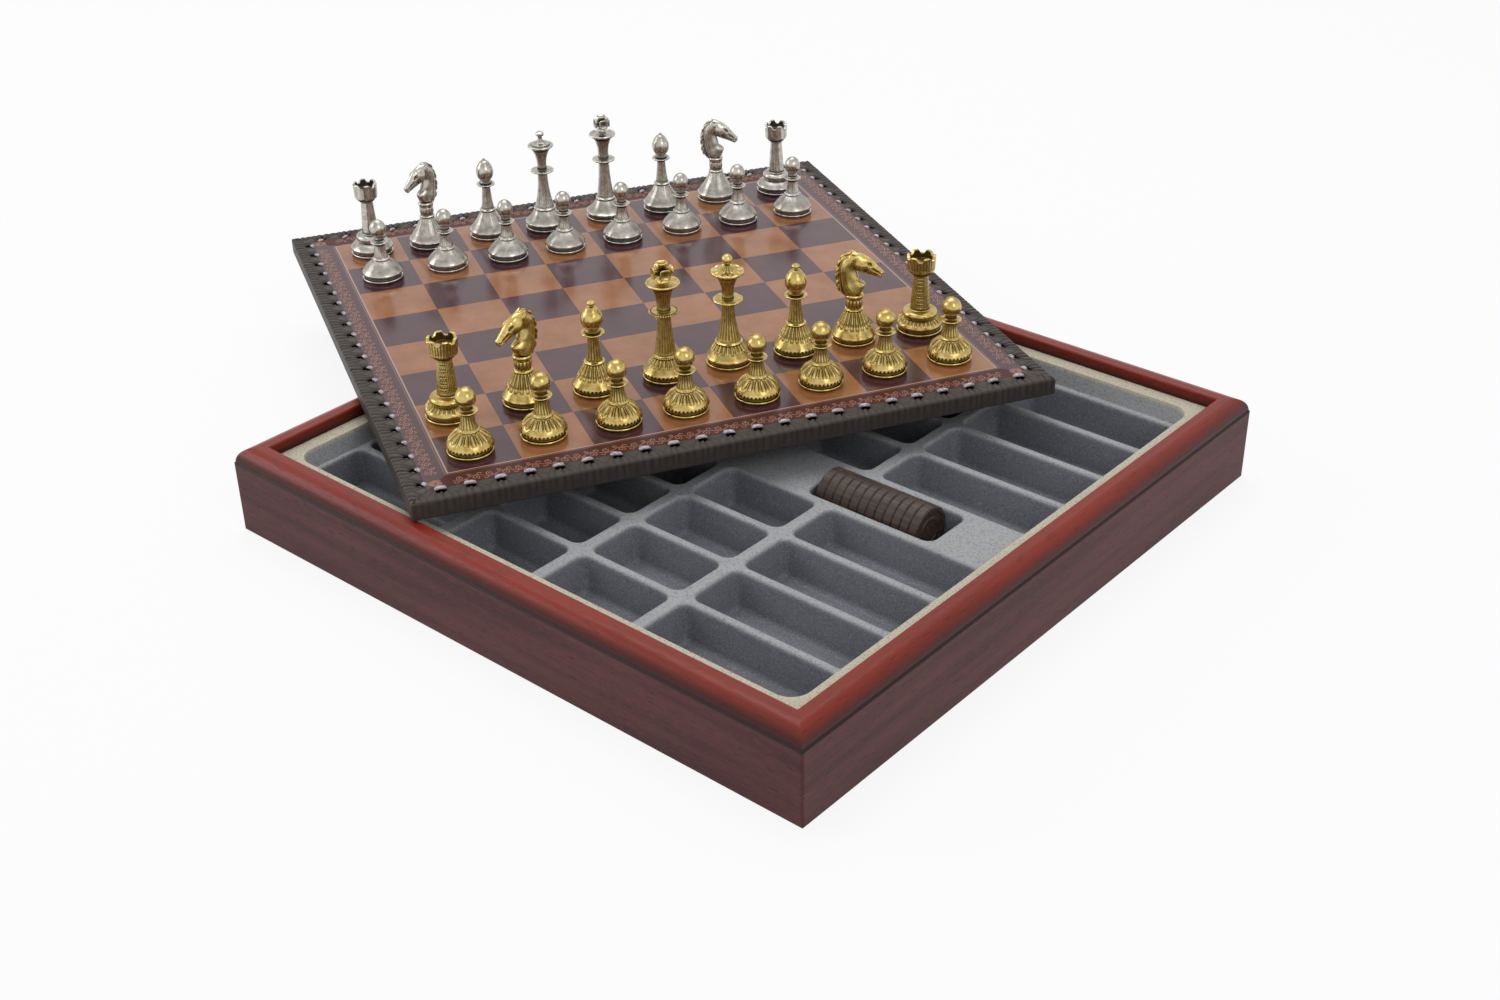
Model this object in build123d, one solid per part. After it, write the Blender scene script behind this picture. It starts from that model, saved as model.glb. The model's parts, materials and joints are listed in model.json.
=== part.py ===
"""A chess box: a mitred wooden case with a moulded tray, a laced leather board and two sets of metal men.

Frame: origin at the middle of the underside of the case, +Z up, -Y the left visible side, +X the right one.
The board lies turned on the rims of the case, with the men set up on it. All sizes are in millimetres.
"""
from build123d import *
import os
from math import cos, sin, radians

# ---- case ----
CASE_SIDE = 360.0            # outside width and depth
CASE_HEIGHT = 46.0           # floor to the flat top of the rim
FACE_HEIGHT = 38.0           # straight part of the outer face, below the rounded rim
RIM_WIDTH = 13.2             # wood beside the board recess
RAIL_WIDTH = 19.2            # wood below the tray flange
ROUND_RUN = 9.0              # how far the rounded rim reaches inwards
QUIRK_DEPTH = 0.8            # small groove between the face and the rounded rim
QUIRK_HEIGHT = 0.8
CORNER_RADIUS = 1.2          # softened upright corners
PANEL_THICKNESS = 4.0        # the bottom panel is let in flush with the underside
REBATE_DEPTH = 6.0

# ---- moulded tray ----
SHEET = 1.2                  # wall thickness of the moulded sheet
FLANGE_TOP = 39.8
FLANGE_SIDE = 333.0
STEP_TOP_HALF = 158.5        # half opening at the flange
STEP_FOOT_HALF = 155.4       # half opening where the step meets the dividers
STEP_CORNER = 10.0
CREST_LEVEL = 31.0           # top of the dividers
POCKET_FLOOR = 11.0
ROW_PITCH = 34.4             # pocket to pocket, front to back
ROWS_EACH_SIDE = 4           # pocket rows in front of and behind the middle band
ROW_WALL = 2.2               # half thickness of a divider between rows
COLUMN_SPLIT = 62.5          # divider between the long and the short pockets
COLUMN_WALL = 3.6            # half thickness of a divider between columns
OUTER_END = 153.6            # outer end of the long pockets and of the last rows
POCKET_CORNER = 5.0
POCKET_DRAFT = 5.0           # degrees
CREST_ROUND = 1.7
FLOOR_ROUND = 3.0
STACK_POCKET = (47.5, 121.5)  # ends of the draughts pocket
STACK_POCKET_WIDTH = 29.0
STACK_POCKET_FLOOR = 13.0

# ---- draughts ----
DRAUGHT_RADIUS = 12.5
DRAUGHT_PITCH = 5.0
DRAUGHT_THICKNESS = 4.9
DRAUGHTS_IN_STACK = 12
STACK_START = 51.2           # inner end of the stack
STACK_GAP = 0.3              # air under the stack

# ---- board ----
BOARD_SIDE = 330.0
BOARD_THICKNESS = 9.5
BOARD_TURN = 61.2            # degrees from +X to the line of a rank
BOARD_CENTRE = (-122.8, 54.3)
LEATHER = 1.2                # top sheet and edge leather
BACKING = 1.0
LACE_TOP_WIDTH = 10.0        # edge leather on the top
LACE_BACK_WIDTH = 8.0        # edge leather on the underside
LACE_ROUND = 1.0
SQUARE = 35.6
STITCH_PITCH = 14.2
STITCHES_EACH_SIDE = 22
STITCH_INSET = 8.2           # from the edge of the board
STITCH_LENGTH = 5.6
STITCH_RADIUS = 1.1

# ---- men: foot radii and where each stands off the middle of its square ----
FOOT = 12.0
PAWN_FOOT = 11.5
ROOK_FOOT = 12.2
SLIM_FOOT = 11.7
FOOT_HEIGHT = 4.7            # the foot, which both metals share
GIRTH = {"gold": 1.0, "silver": 0.9}  # radii above the foot
PAWN_BALL = {"gold": 28.9, "silver": 29.8}  # height of the ball's middle
KING_HEIGHT = 62.9
CROSS_REACH = {"gold": 5.3, "silver": 4.3}
OFFICERS = ("rook_1", "knight_1", "bishop_1", "king", "queen", "bishop_2", "knight_2", "rook_2")
SILVER_OFFICERS = ("rook_1", "knight_1", "bishop_1", "queen", "king", "bishop_2", "knight_2", "rook_2")
GOLD_OFFICER_SHIFT = ((-4, 1.5), (-1, 1.5), (-0.5, 0.5), (1.5, 1.5), (1, 4), (2, 3), (-0.5, 4), (1, 2))
GOLD_PAWN_SHIFT = ((-3, -1.5), (-2, 0), (0, -1), (-1, -1), (1, -1), (0, 0), (0, 1), (1, 1))
SILVER_OFFICER_SHIFT = ((0.5, 2), (-1.5, 1), (-1, 1), (-2.5, 0), (0, 1.5), (0, 1), (0, 3.5), (3, 1))
SILVER_PAWN_SHIFT = ((-1, 0), (1, 1), (1, 1), (-0.5, 0.5), (-1, 1), (0, 1), (0, 1), (-1, 0))
KNIGHT_TURNS = (205, -20)    # degrees: the first knight faces left, the second right, both a little forward


def quarter_turns(piece):
    """The piece at the front, right, back and left."""
    return [Rot(0, 0, 90 * step) * piece for step in range(4)]


def rail_profile():
    """The front rail before its mitres: rebate for the panel, ledge for the tray, quirk and rounded rim."""
    outer = -CASE_SIDE / 2
    recess = outer + RIM_WIDTH
    inner = outer + RAIL_WIDTH
    ledge = FLANGE_TOP - SHEET
    quirk = outer + QUIRK_DEPTH
    round_foot = FACE_HEIGHT + QUIRK_HEIGHT
    round_end = outer + ROUND_RUN
    mid_angle = radians(45)
    mid_y = round_end - (round_end - quirk) * cos(mid_angle)
    mid_z = round_foot + (CASE_HEIGHT - round_foot) * sin(mid_angle)
    soft = 0.6
    rebate = inner - REBATE_DEPTH
    with BuildPart() as part:
        with BuildSketch(Plane.YZ) as sketch:
            with BuildLine():
                Polyline(
                    (rebate, 0),
                    (outer + soft, 0),
                    (outer, soft),
                    (outer, FACE_HEIGHT),
                    (quirk, round_foot),
                )
                ThreePointArc((quirk, round_foot), (mid_y, mid_z), (round_end, CASE_HEIGHT))
                Polyline(
                    (round_end, CASE_HEIGHT),
                    (recess - soft, CASE_HEIGHT),
                    (recess, CASE_HEIGHT - soft),
                    (recess, ledge),
                    (inner, ledge),
                    (inner, PANEL_THICKNESS),
                    (rebate, PANEL_THICKNESS),
                    (rebate, 0),
                )
            make_face()
        extrude(amount=CASE_SIDE / 2, both=True)
    return part.part


def case_rail():
    """One rail of the case, cut to a mitre at both ends and softened at the upright corners."""
    half = CASE_SIDE / 2
    wedge = extrude(make_face(Polyline((-half, -half), (half, -half), (0, 0), close=True)), CASE_HEIGHT)
    softened = extrude(RectangleRounded(CASE_SIDE, CASE_SIDE, CORNER_RADIUS), CASE_HEIGHT)
    return rail_profile() & wedge & softened


def bottom_panel():
    """Thin panel let into the rebates under the four rails."""
    side = CASE_SIDE - 2 * (RAIL_WIDTH - REBATE_DEPTH)
    return Pos(0, 0, PANEL_THICKNESS / 2) * Box(side, side, PANEL_THICKNESS)


def drafted_well(width, depth, top, floor, corner, draft):
    """A solid the shape of a drafted hollow, open at the top level and narrowing to the floor."""
    outline = Pos(0, 0, top) * RectangleRounded(width, depth, corner)
    return extrude(outline, amount=-(top - floor), taper=draft)


def pocket_hollow(width, depth, floor):
    """The air of one pocket: drafted walls, a rounded floor edge and a flared, rounded crest."""
    well = drafted_well(width, depth, CREST_LEVEL, floor, POCKET_CORNER, POCKET_DRAFT)
    well = fillet(well.edges().group_by(Axis.Z)[0], FLOOR_ROUND)
    margin = 2 * CREST_ROUND + 1
    lip_height = 2 * CREST_ROUND
    block = Pos(0, 0, CREST_LEVEL - lip_height / 2) * Box(width + margin, depth + margin, lip_height)
    lip = block - well
    mouth = [
        edge
        for edge in lip.edges().group_by(Axis.Z)[-1]
        if abs(edge.center().X) <= width / 2 + 0.1 and abs(edge.center().Y) <= depth / 2 + 0.1
    ]
    return well + (block - fillet(mouth, CREST_ROUND))


def pocket_shell(width, depth, floor):
    """The outside of one pocket, one sheet thickness larger than its air."""
    return drafted_well(
        width + 2 * SHEET,
        depth + 2 * SHEET,
        CREST_LEVEL - 0.2,
        floor - SHEET,
        POCKET_CORNER + SHEET,
        POCKET_DRAFT,
    )


def pocket_places():
    """Centre, width and depth of every man's pocket in the tray, column by column."""
    columns = (
        (-OUTER_END, -COLUMN_SPLIT - COLUMN_WALL),
        (-COLUMN_SPLIT + COLUMN_WALL, -COLUMN_WALL),
        (COLUMN_WALL, COLUMN_SPLIT - COLUMN_WALL),
        (COLUMN_SPLIT + COLUMN_WALL, OUTER_END),
    )
    places = []
    for left, right in columns:
        for side in (-1, 1):
            for row in range(ROWS_EACH_SIDE):
                near = (row + 0.5) * ROW_PITCH + ROW_WALL
                far = min((row + 1.5) * ROW_PITCH - ROW_WALL, OUTER_END)
                places.append(((left + right) / 2, side * (near + far) / 2, right - left, far - near))
    return places


def flocked_tray():
    """The moulded sheet: flange, drafted step, crests, 32 men's pockets and two draughts pockets."""
    half_taper = STEP_TOP_HALF - STEP_FOOT_HALF
    flange = Pos(0, 0, FLANGE_TOP - SHEET / 2) * Box(FLANGE_SIDE, FLANGE_SIDE, SHEET)
    step_rings = []
    for grow, drop in ((0, 0), (SHEET, SHEET)):
        top_side = 2 * (STEP_TOP_HALF + grow)
        foot_side = 2 * (STEP_FOOT_HALF + grow)
        top = Pos(0, 0, FLANGE_TOP) * RectangleRounded(top_side, top_side, STEP_CORNER + grow)
        foot_corner = STEP_CORNER + grow - half_taper
        foot = Pos(0, 0, CREST_LEVEL - drop) * RectangleRounded(foot_side, foot_side, foot_corner)
        step_rings.append(loft([top.faces()[0], foot.faces()[0]], ruled=True))
    shells = [flange + step_rings[1]]
    hollows = [step_rings[0]]
    hollow_kinds = {}
    for x, y, width, depth in pocket_places():
        kind = (round(width, 3), round(depth, 3))
        if kind not in hollow_kinds:
            hollow_kinds[kind] = (
                pocket_hollow(width, depth, POCKET_FLOOR),
                pocket_shell(width, depth, POCKET_FLOOR),
            )
        hollow, shell = hollow_kinds[kind]
        hollows.append(Pos(x, y, 0) * hollow)
        shells.append(Pos(x, y, 0) * shell)
    low, high = STACK_POCKET
    stack_hollow = pocket_hollow(high - low, STACK_POCKET_WIDTH, STACK_POCKET_FLOOR)
    stack_shell = pocket_shell(high - low, STACK_POCKET_WIDTH, STACK_POCKET_FLOOR)
    for side in (-1, 1):
        hollows.append(Pos(side * (low + high) / 2, 0, 0) * stack_hollow)
        shells.append(Pos(side * (low + high) / 2, 0, 0) * stack_shell)
    return shells[0] + shells[1:] - hollows


def slimmed(stop, girth):
    """A stop with its radii scaled, unless it belongs to the foot."""
    if stop[-1] < FOOT_HEIGHT:
        return stop
    return tuple(value if place % 2 else value * girth for place, value in enumerate(stop))


def revolved(girth, *stops):
    """A turned piece: each stop is (radius, height), or an arc through the first pair to the second."""
    edges = []
    at = (0.0, 0.0)
    for stop in [slimmed(stop, girth) for stop in stops]:
        end = stop[-2:]
        start_point = (at[0], 0, at[1])
        end_point = (end[0], 0, end[1])
        if len(stop) == 2:
            edges.append(Edge.make_line(start_point, end_point))
        else:
            edges.append(Edge.make_three_point_arc(start_point, (stop[0], 0, stop[1]), end_point))
        at = end
    edges.append(Edge.make_line((at[0], 0, at[1]), (0, 0, 0)))
    return revolve(Face(Wire(edges)), Axis.Z)


def foot(radius, bell_mid, bell_top):
    """The stops every man shares: bottom ring, groove, the dome's lip and the bell to a given top."""
    return [
        (radius - 1.0, 0),
        (radius - 0.6, 0.5),
        (radius - 0.6, 1.6),
        (radius - 1.5, 2.0),
        (radius - 1.5, 3.1),
        (radius - 0.3, 3.8),
        (radius, 4.6),
        (*bell_mid, *bell_top),
    ]


def ring(radius, height, thickness, neck):
    """A proud ring round the stem, from its underside to the neck above it."""
    return [(radius, height), (radius, height + thickness), (neck, height + thickness + 0.4)]


def pawn(girth, ball):
    """Wide bell, low ring, short stem, collar and a ball whose middle is at the given height."""
    return revolved(
        girth,
        *foot(PAWN_FOOT, (9.3, 8.4), (5.0, 11.4)),
        *ring(5.5, 11.7, 0.6, 4.7),
        (3.6, 16.4, 3.2, 21.0),
        *ring(5.5, 21.5, 0.7, 3.6),
        (2.9, ball - 4.4),
        (5.05, ball, 0.9, ball + 5.1),
        (0, ball + 5.2),
    )


def rook(girth):
    """Low bell, thick ring, tapered tower and a hollow crown with six rounded merlons."""
    top = 43.0
    body = revolved(
        girth,
        *foot(ROOK_FOOT, (10.9, 6.9), (8.0, 8.3)),
        (9.3, 10.2, 7.4, 12.2),
        (5.2, 12.8),
        (3.8, 32.4),
        (5.4, 33.4),
        (7.0, 34.2),
        (7.6, top),
        (6.0, top),
        (5.6, 38.6),
        (0, 38.6),
    )
    notch = Pos(6.4 * girth, 0, top + 0.2) * Rot(0, 90, 0) * Cylinder(1.9, 5)
    return body - [Rot(0, 0, 60 * step) * notch for step in range(6)]


def bishop(girth, pointed):
    """Tall bell, slim stem, collar and an onion-shaped head, with a button or a point."""
    button = [(1.0, 46.9), (2.1, 47.4), (2.1, 48.4), (1.3, 49.0), (0, 49.0)]
    point = [(0.6, 47.3), (0.3, 47.6), (0, 47.6)]
    return revolved(
        girth,
        *foot(SLIM_FOOT, (8.3, 9.8), (4.8, 15.6)),
        *ring(5.4, 16.0, 0.7, 4.2),
        (3.2, 23.6, 2.7, 30.8),
        *ring(6.0, 31.6, 0.8, 3.1),
        (2.9, 34.2),
        (5.65, 39.4, 3.9, 44.0),
        (2.9, 45.4, 1.3, 46.4),
        *(point if pointed else button),
    )


def queen(girth, ball):
    """Bell, ring, long stem, collar, flared cup and a crown disc with a ball or a flat knob."""
    ball_finial = [(1.3, 54.6), (2.85, 57.4, 0.6, 60.2), (0, 60.3)]
    knob_finial = [(1.3, 54.6), (1.3, 56.4), (2.6, 56.9), (2.6, 58.4), (1.6, 59.2), (0, 59.2)]
    return revolved(
        girth,
        *foot(FOOT, (9.1, 8.3), (6.7, 11.8)),
        *ring(7.2, 12.1, 0.7, 6.3),
        (4.2, 22.0, 3.2, 34.0),
        *ring(7.6, 35.2, 0.8, 3.0),
        (3.6, 43.6, 5.9, 48.9),
        (8.4, 50.4),
        (8.4, 51.2),
        (4.6, 51.4),
        *(ball_finial if ball else knob_finial),
    )


def king_cross(reach):
    """A cross of six flared arms, one each way, trimmed to a ball and dished in the middle of every end."""
    root, tip, half_thickness = 1.2, reach * 0.5, reach * 0.36
    outline = Polyline((0, -root), (reach, -tip), (reach, tip), (0, root), close=True)
    arm = extrude(make_face(outline), half_thickness, both=True)
    dish = Pos(reach + 0.4, 0, 0) * Sphere(1.3)
    ways = [Rot(0, 0, 90 * step) for step in range(4)] + [Rot(0, 90, 0), Rot(0, -90, 0)]
    arms = ways[0] * arm + [way * arm for way in ways[1:]]
    trim = Sphere(reach * 1.1) - [way * dish for way in ways]
    return arms & trim


def king(girth, reach):
    """Bell, beaded ring, long stem, collar, flared cup, crown disc and a flared cross."""
    body = revolved(
        girth,
        *foot(FOOT, (8.9, 8.0), (6.1, 11.6)),
        *ring(6.6, 11.9, 0.9, 5.6),
        (4.3, 22.0, 3.4, 34.6),
        *ring(7.5, 35.9, 0.9, 3.4),
        (3.9, 44.4, 6.0, 50.0),
        (8.6, 51.3),
        (8.6, 52.1),
        (3.2, 52.4),
        (2.2, 53.2),
        (1.6, 55.6),
        (0, 55.6),
    )
    return body + Pos(0, 0, KING_HEIGHT - reach) * king_cross(reach)


def horse_form(girth, *stations):
    """A smooth body through ellipses: each station is x, z, lean in degrees, half length and half width."""
    sections = []
    for x, z, lean, half_long, half_wide in stations:
        plane = Plane(
            origin=(x * girth, 0, z),
            x_dir=(cos(radians(lean)), 0, -sin(radians(lean))),
            z_dir=(sin(radians(lean)), 0, cos(radians(lean))),
        )
        sections.append((plane * Ellipse(half_long * girth, half_wide * girth)).faces()[0])
    return loft(sections)


def knight(girth, turn):
    """Tall bell, two rings and a horse's arched neck, head, mane and ears, facing +X before the turn."""
    base = revolved(
        girth,
        *foot(SLIM_FOOT, (7.7, 11.2), (4.5, 17.4)),
        *ring(4.9, 17.6, 0.8, 4.0),
        (4.3, 24.6),
        *ring(5.0, 25.2, 1.1, 4.6),
        (0, 26.7),
    )
    neck = horse_form(
        girth,
        (-1.2, 26.4, 0, 4.8, 4.4),
        (-1.4, 29.4, -2, 6.4, 4.5),
        (-2.4, 32.2, 2, 6.2, 4.1),
        (-3.3, 35.6, 6, 5.3, 3.7),
        (-3.6, 40.0, 16, 4.9, 3.4),
        (-1.6, 45.0, 46, 4.6, 3.1),
        (1.4, 45.9, 88, 3.1, 2.8),
    )
    mane = horse_form(
        girth,
        (-3.6, 28.0, 0, 4.5, 1.1),
        (-4.4, 33.0, 4, 5.0, 1.2),
        (-4.6, 38.6, 12, 4.7, 1.2),
        (-3.4, 43.6, 34, 4.6, 1.2),
        (-0.4, 46.8, 70, 3.2, 1.0),
    )
    head = horse_form(
        girth,
        (-2.0, 46.4, 118, 3.2, 2.7),
        (1.8, 44.6, 118, 4.6, 3.3),
        (6.0, 42.0, 120, 4.5, 3.1),
        (10.2, 39.4, 122, 3.5, 2.5),
        (13.2, 37.3, 126, 2.4, 2.0),
        (14.6, 36.2, 128, 1.7, 1.6),
    )
    ear = Pos(-0.4, 0, 49.0) * Rot(0, -50, 0) * Cone(1.2, 0.3, 4.0)
    ears = [Pos(0, side * 1.7 * girth, 0) * ear for side in (-1, 1)]
    return Rot(0, 0, turn) * (base + neck + mane + head + ears)


def draught():
    """A thick pressed disc with a raised rim and a raised inner ring on both faces, axis along +Z."""
    half = DRAUGHT_THICKNESS / 2
    outer = DRAUGHT_RADIUS
    upper = [(0, half - 0.5), (5.6, half - 0.5), (5.9, half - 0.1), (7.0, half - 0.1), (7.3, half - 0.5),
             (10.0, half - 0.5), (10.4, half), (outer - 0.6, half), (outer, half - 0.6)]
    mirrored = [(radius, -height) for radius, height in reversed(upper)]
    edge = Polyline(*[(radius, 0, height) for radius, height in upper + mirrored], close=True)
    return revolve(make_face(edge), Axis.Z)


def draughts_stack(side):
    """A row of draughts lying on edge along X in the pocket at the given side."""
    centre_height = STACK_POCKET_FLOOR + DRAUGHT_RADIUS + STACK_GAP
    piece = Rot(0, 90, 0) * draught()
    first = STACK_START + DRAUGHT_PITCH / 2
    places = [side * (first + DRAUGHT_PITCH * step) for step in range(DRAUGHTS_IN_STACK)]
    return Compound(children=[Pos(x, 0, centre_height) * piece for x in places])


def on_board(piece):
    """Carries a piece from the board's own frame (underside at z = 0) to its place on the rims."""
    return Pos(BOARD_CENTRE[0], BOARD_CENTRE[1], CASE_HEIGHT) * Rot(0, 0, BOARD_TURN) * piece


def board_core():
    """The stiff core of the board, inside its leathers."""
    side = BOARD_SIDE - 2 * LEATHER
    height = BOARD_THICKNESS - LEATHER - BACKING
    return Pos(0, 0, BACKING + height / 2) * Box(side, side, height)


def board_sheet(side, low, thickness):
    """A flat sheet glued to the core."""
    return Pos(0, 0, low + thickness / 2) * Box(side, side, thickness)


def lace_edge():
    """The leather folded round the front edge of the board, mitred at the corners."""
    half = BOARD_SIDE / 2
    top_inner = -half + LACE_TOP_WIDTH
    back_inner = -half + LACE_BACK_WIDTH
    core_face = -half + LEATHER
    core_top = BOARD_THICKNESS - LEATHER
    outline = Polyline(
        (-half, 0),
        (back_inner, 0),
        (back_inner, BACKING),
        (core_face, BACKING),
        (core_face, core_top),
        (top_inner, core_top),
        (top_inner, BOARD_THICKNESS),
        (-half, BOARD_THICKNESS),
        close=True,
    )
    strip = extrude(Plane.YZ * make_face(outline), half, both=True)
    outer_edges = [e for e in strip.edges().filter_by(Axis.X) if e.center().Y < -half + 0.01]
    strip = fillet(outer_edges, LACE_ROUND)
    wedge = extrude(make_face(Polyline((-half, -half), (half, -half), (0, 0), close=True)), BOARD_THICKNESS)
    return strip & wedge


def stitch_loops():
    """The pale lace loops along the inner side of the edge leather, each a half-round bar."""
    bar = Rot(0, 90, 0) * Cylinder(STITCH_RADIUS, STITCH_LENGTH)
    loop = bar & (Pos(0, 0, STITCH_RADIUS / 2) * Box(STITCH_LENGTH, 2 * STITCH_RADIUS, STITCH_RADIUS))
    row_y = -BOARD_SIDE / 2 + STITCH_INSET
    middle = (STITCHES_EACH_SIDE - 1) / 2
    places = [(step - middle) * STITCH_PITCH for step in range(STITCHES_EACH_SIDE)]
    row = [Pos(x, row_y, BOARD_THICKNESS) * loop for x in places]
    loops = []
    for turn in range(4):
        loops += [Rot(0, 0, 90 * turn) * one for one in row]
    return loops


def stand(piece, column, row, shift):
    """Sets a man on its square of the board, a little off the middle as a hand leaves it."""
    x = (column - 3.5) * SQUARE + shift[0]
    y = (row - 3.5) * SQUARE + shift[1]
    return on_board(Pos(x, y, BOARD_THICKNESS) * piece)


def officer(name, metal):
    """The man of that name; the two metals differ in the finials of the queen and the bishops."""
    girth = GIRTH[metal]
    if name == "king":
        return king(girth, CROSS_REACH[metal])
    if name == "queen":
        return queen(girth, metal == "gold")
    kind, number = name.split("_")
    if kind == "rook":
        return rook(girth)
    if kind == "bishop":
        return bishop(girth, metal == "silver")
    return knight(girth, KNIGHT_TURNS[int(number) - 1])


def set_of_men(metal, officers, officer_row, pawn_row, officer_shifts, pawn_shifts):
    """All sixteen men of one metal, by node name."""
    men = {}
    for column, name in enumerate(officers):
        men[f"{metal}_{name}"] = stand(officer(name, metal), column, officer_row, officer_shifts[column])
    turned_pawn = pawn(GIRTH[metal], PAWN_BALL[metal])
    for column, shift in enumerate(pawn_shifts):
        men[f"{metal}_pawn_{column + 1}"] = stand(turned_pawn, column, pawn_row, shift)
    return men


def build():
    """Every sub-part by node name."""
    nodes = {}
    for name, rail in zip(("front", "right", "back", "left"), quarter_turns(case_rail())):
        nodes[f"case_rail_{name}"] = rail
    nodes["bottom_panel"] = bottom_panel()
    nodes["flocked_tray"] = flocked_tray()
    nodes["dark_draughts"] = draughts_stack(1)
    nodes["tan_draughts"] = draughts_stack(-1)
    nodes["board_core"] = on_board(board_core())
    nodes["board_backing"] = on_board(board_sheet(BOARD_SIDE - 2 * LACE_BACK_WIDTH, 0, BACKING))
    nodes["playing_leather"] = on_board(
        board_sheet(BOARD_SIDE - 2 * LACE_TOP_WIDTH, BOARD_THICKNESS - LEATHER, LEATHER)
    )
    for name, strip in zip(("front", "right", "back", "left"), quarter_turns(lace_edge())):
        nodes[f"edge_leather_{name}"] = on_board(strip)
    nodes["lace_stitches"] = Compound(children=[on_board(loop) for loop in stitch_loops()])
    nodes.update(set_of_men("gold", OFFICERS, 1, 0, GOLD_OFFICER_SHIFT, GOLD_PAWN_SHIFT))
    nodes.update(set_of_men("silver", SILVER_OFFICERS, 7, 6, SILVER_OFFICER_SHIFT, SILVER_PAWN_SHIFT))
    return nodes


os.makedirs("parts", exist_ok=True)
for node_name, solid in build().items():
    export_step(solid, f"parts/{node_name}.step")
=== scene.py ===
"""Looks of the chess box: mahogany case, flocked tray, laced leather board, gilt and silvered men.

Metres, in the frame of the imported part: origin under the middle of the case, +Z up. Sizes named _mm
and the outlines of the men and the board are in millimetres.
"""

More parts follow.
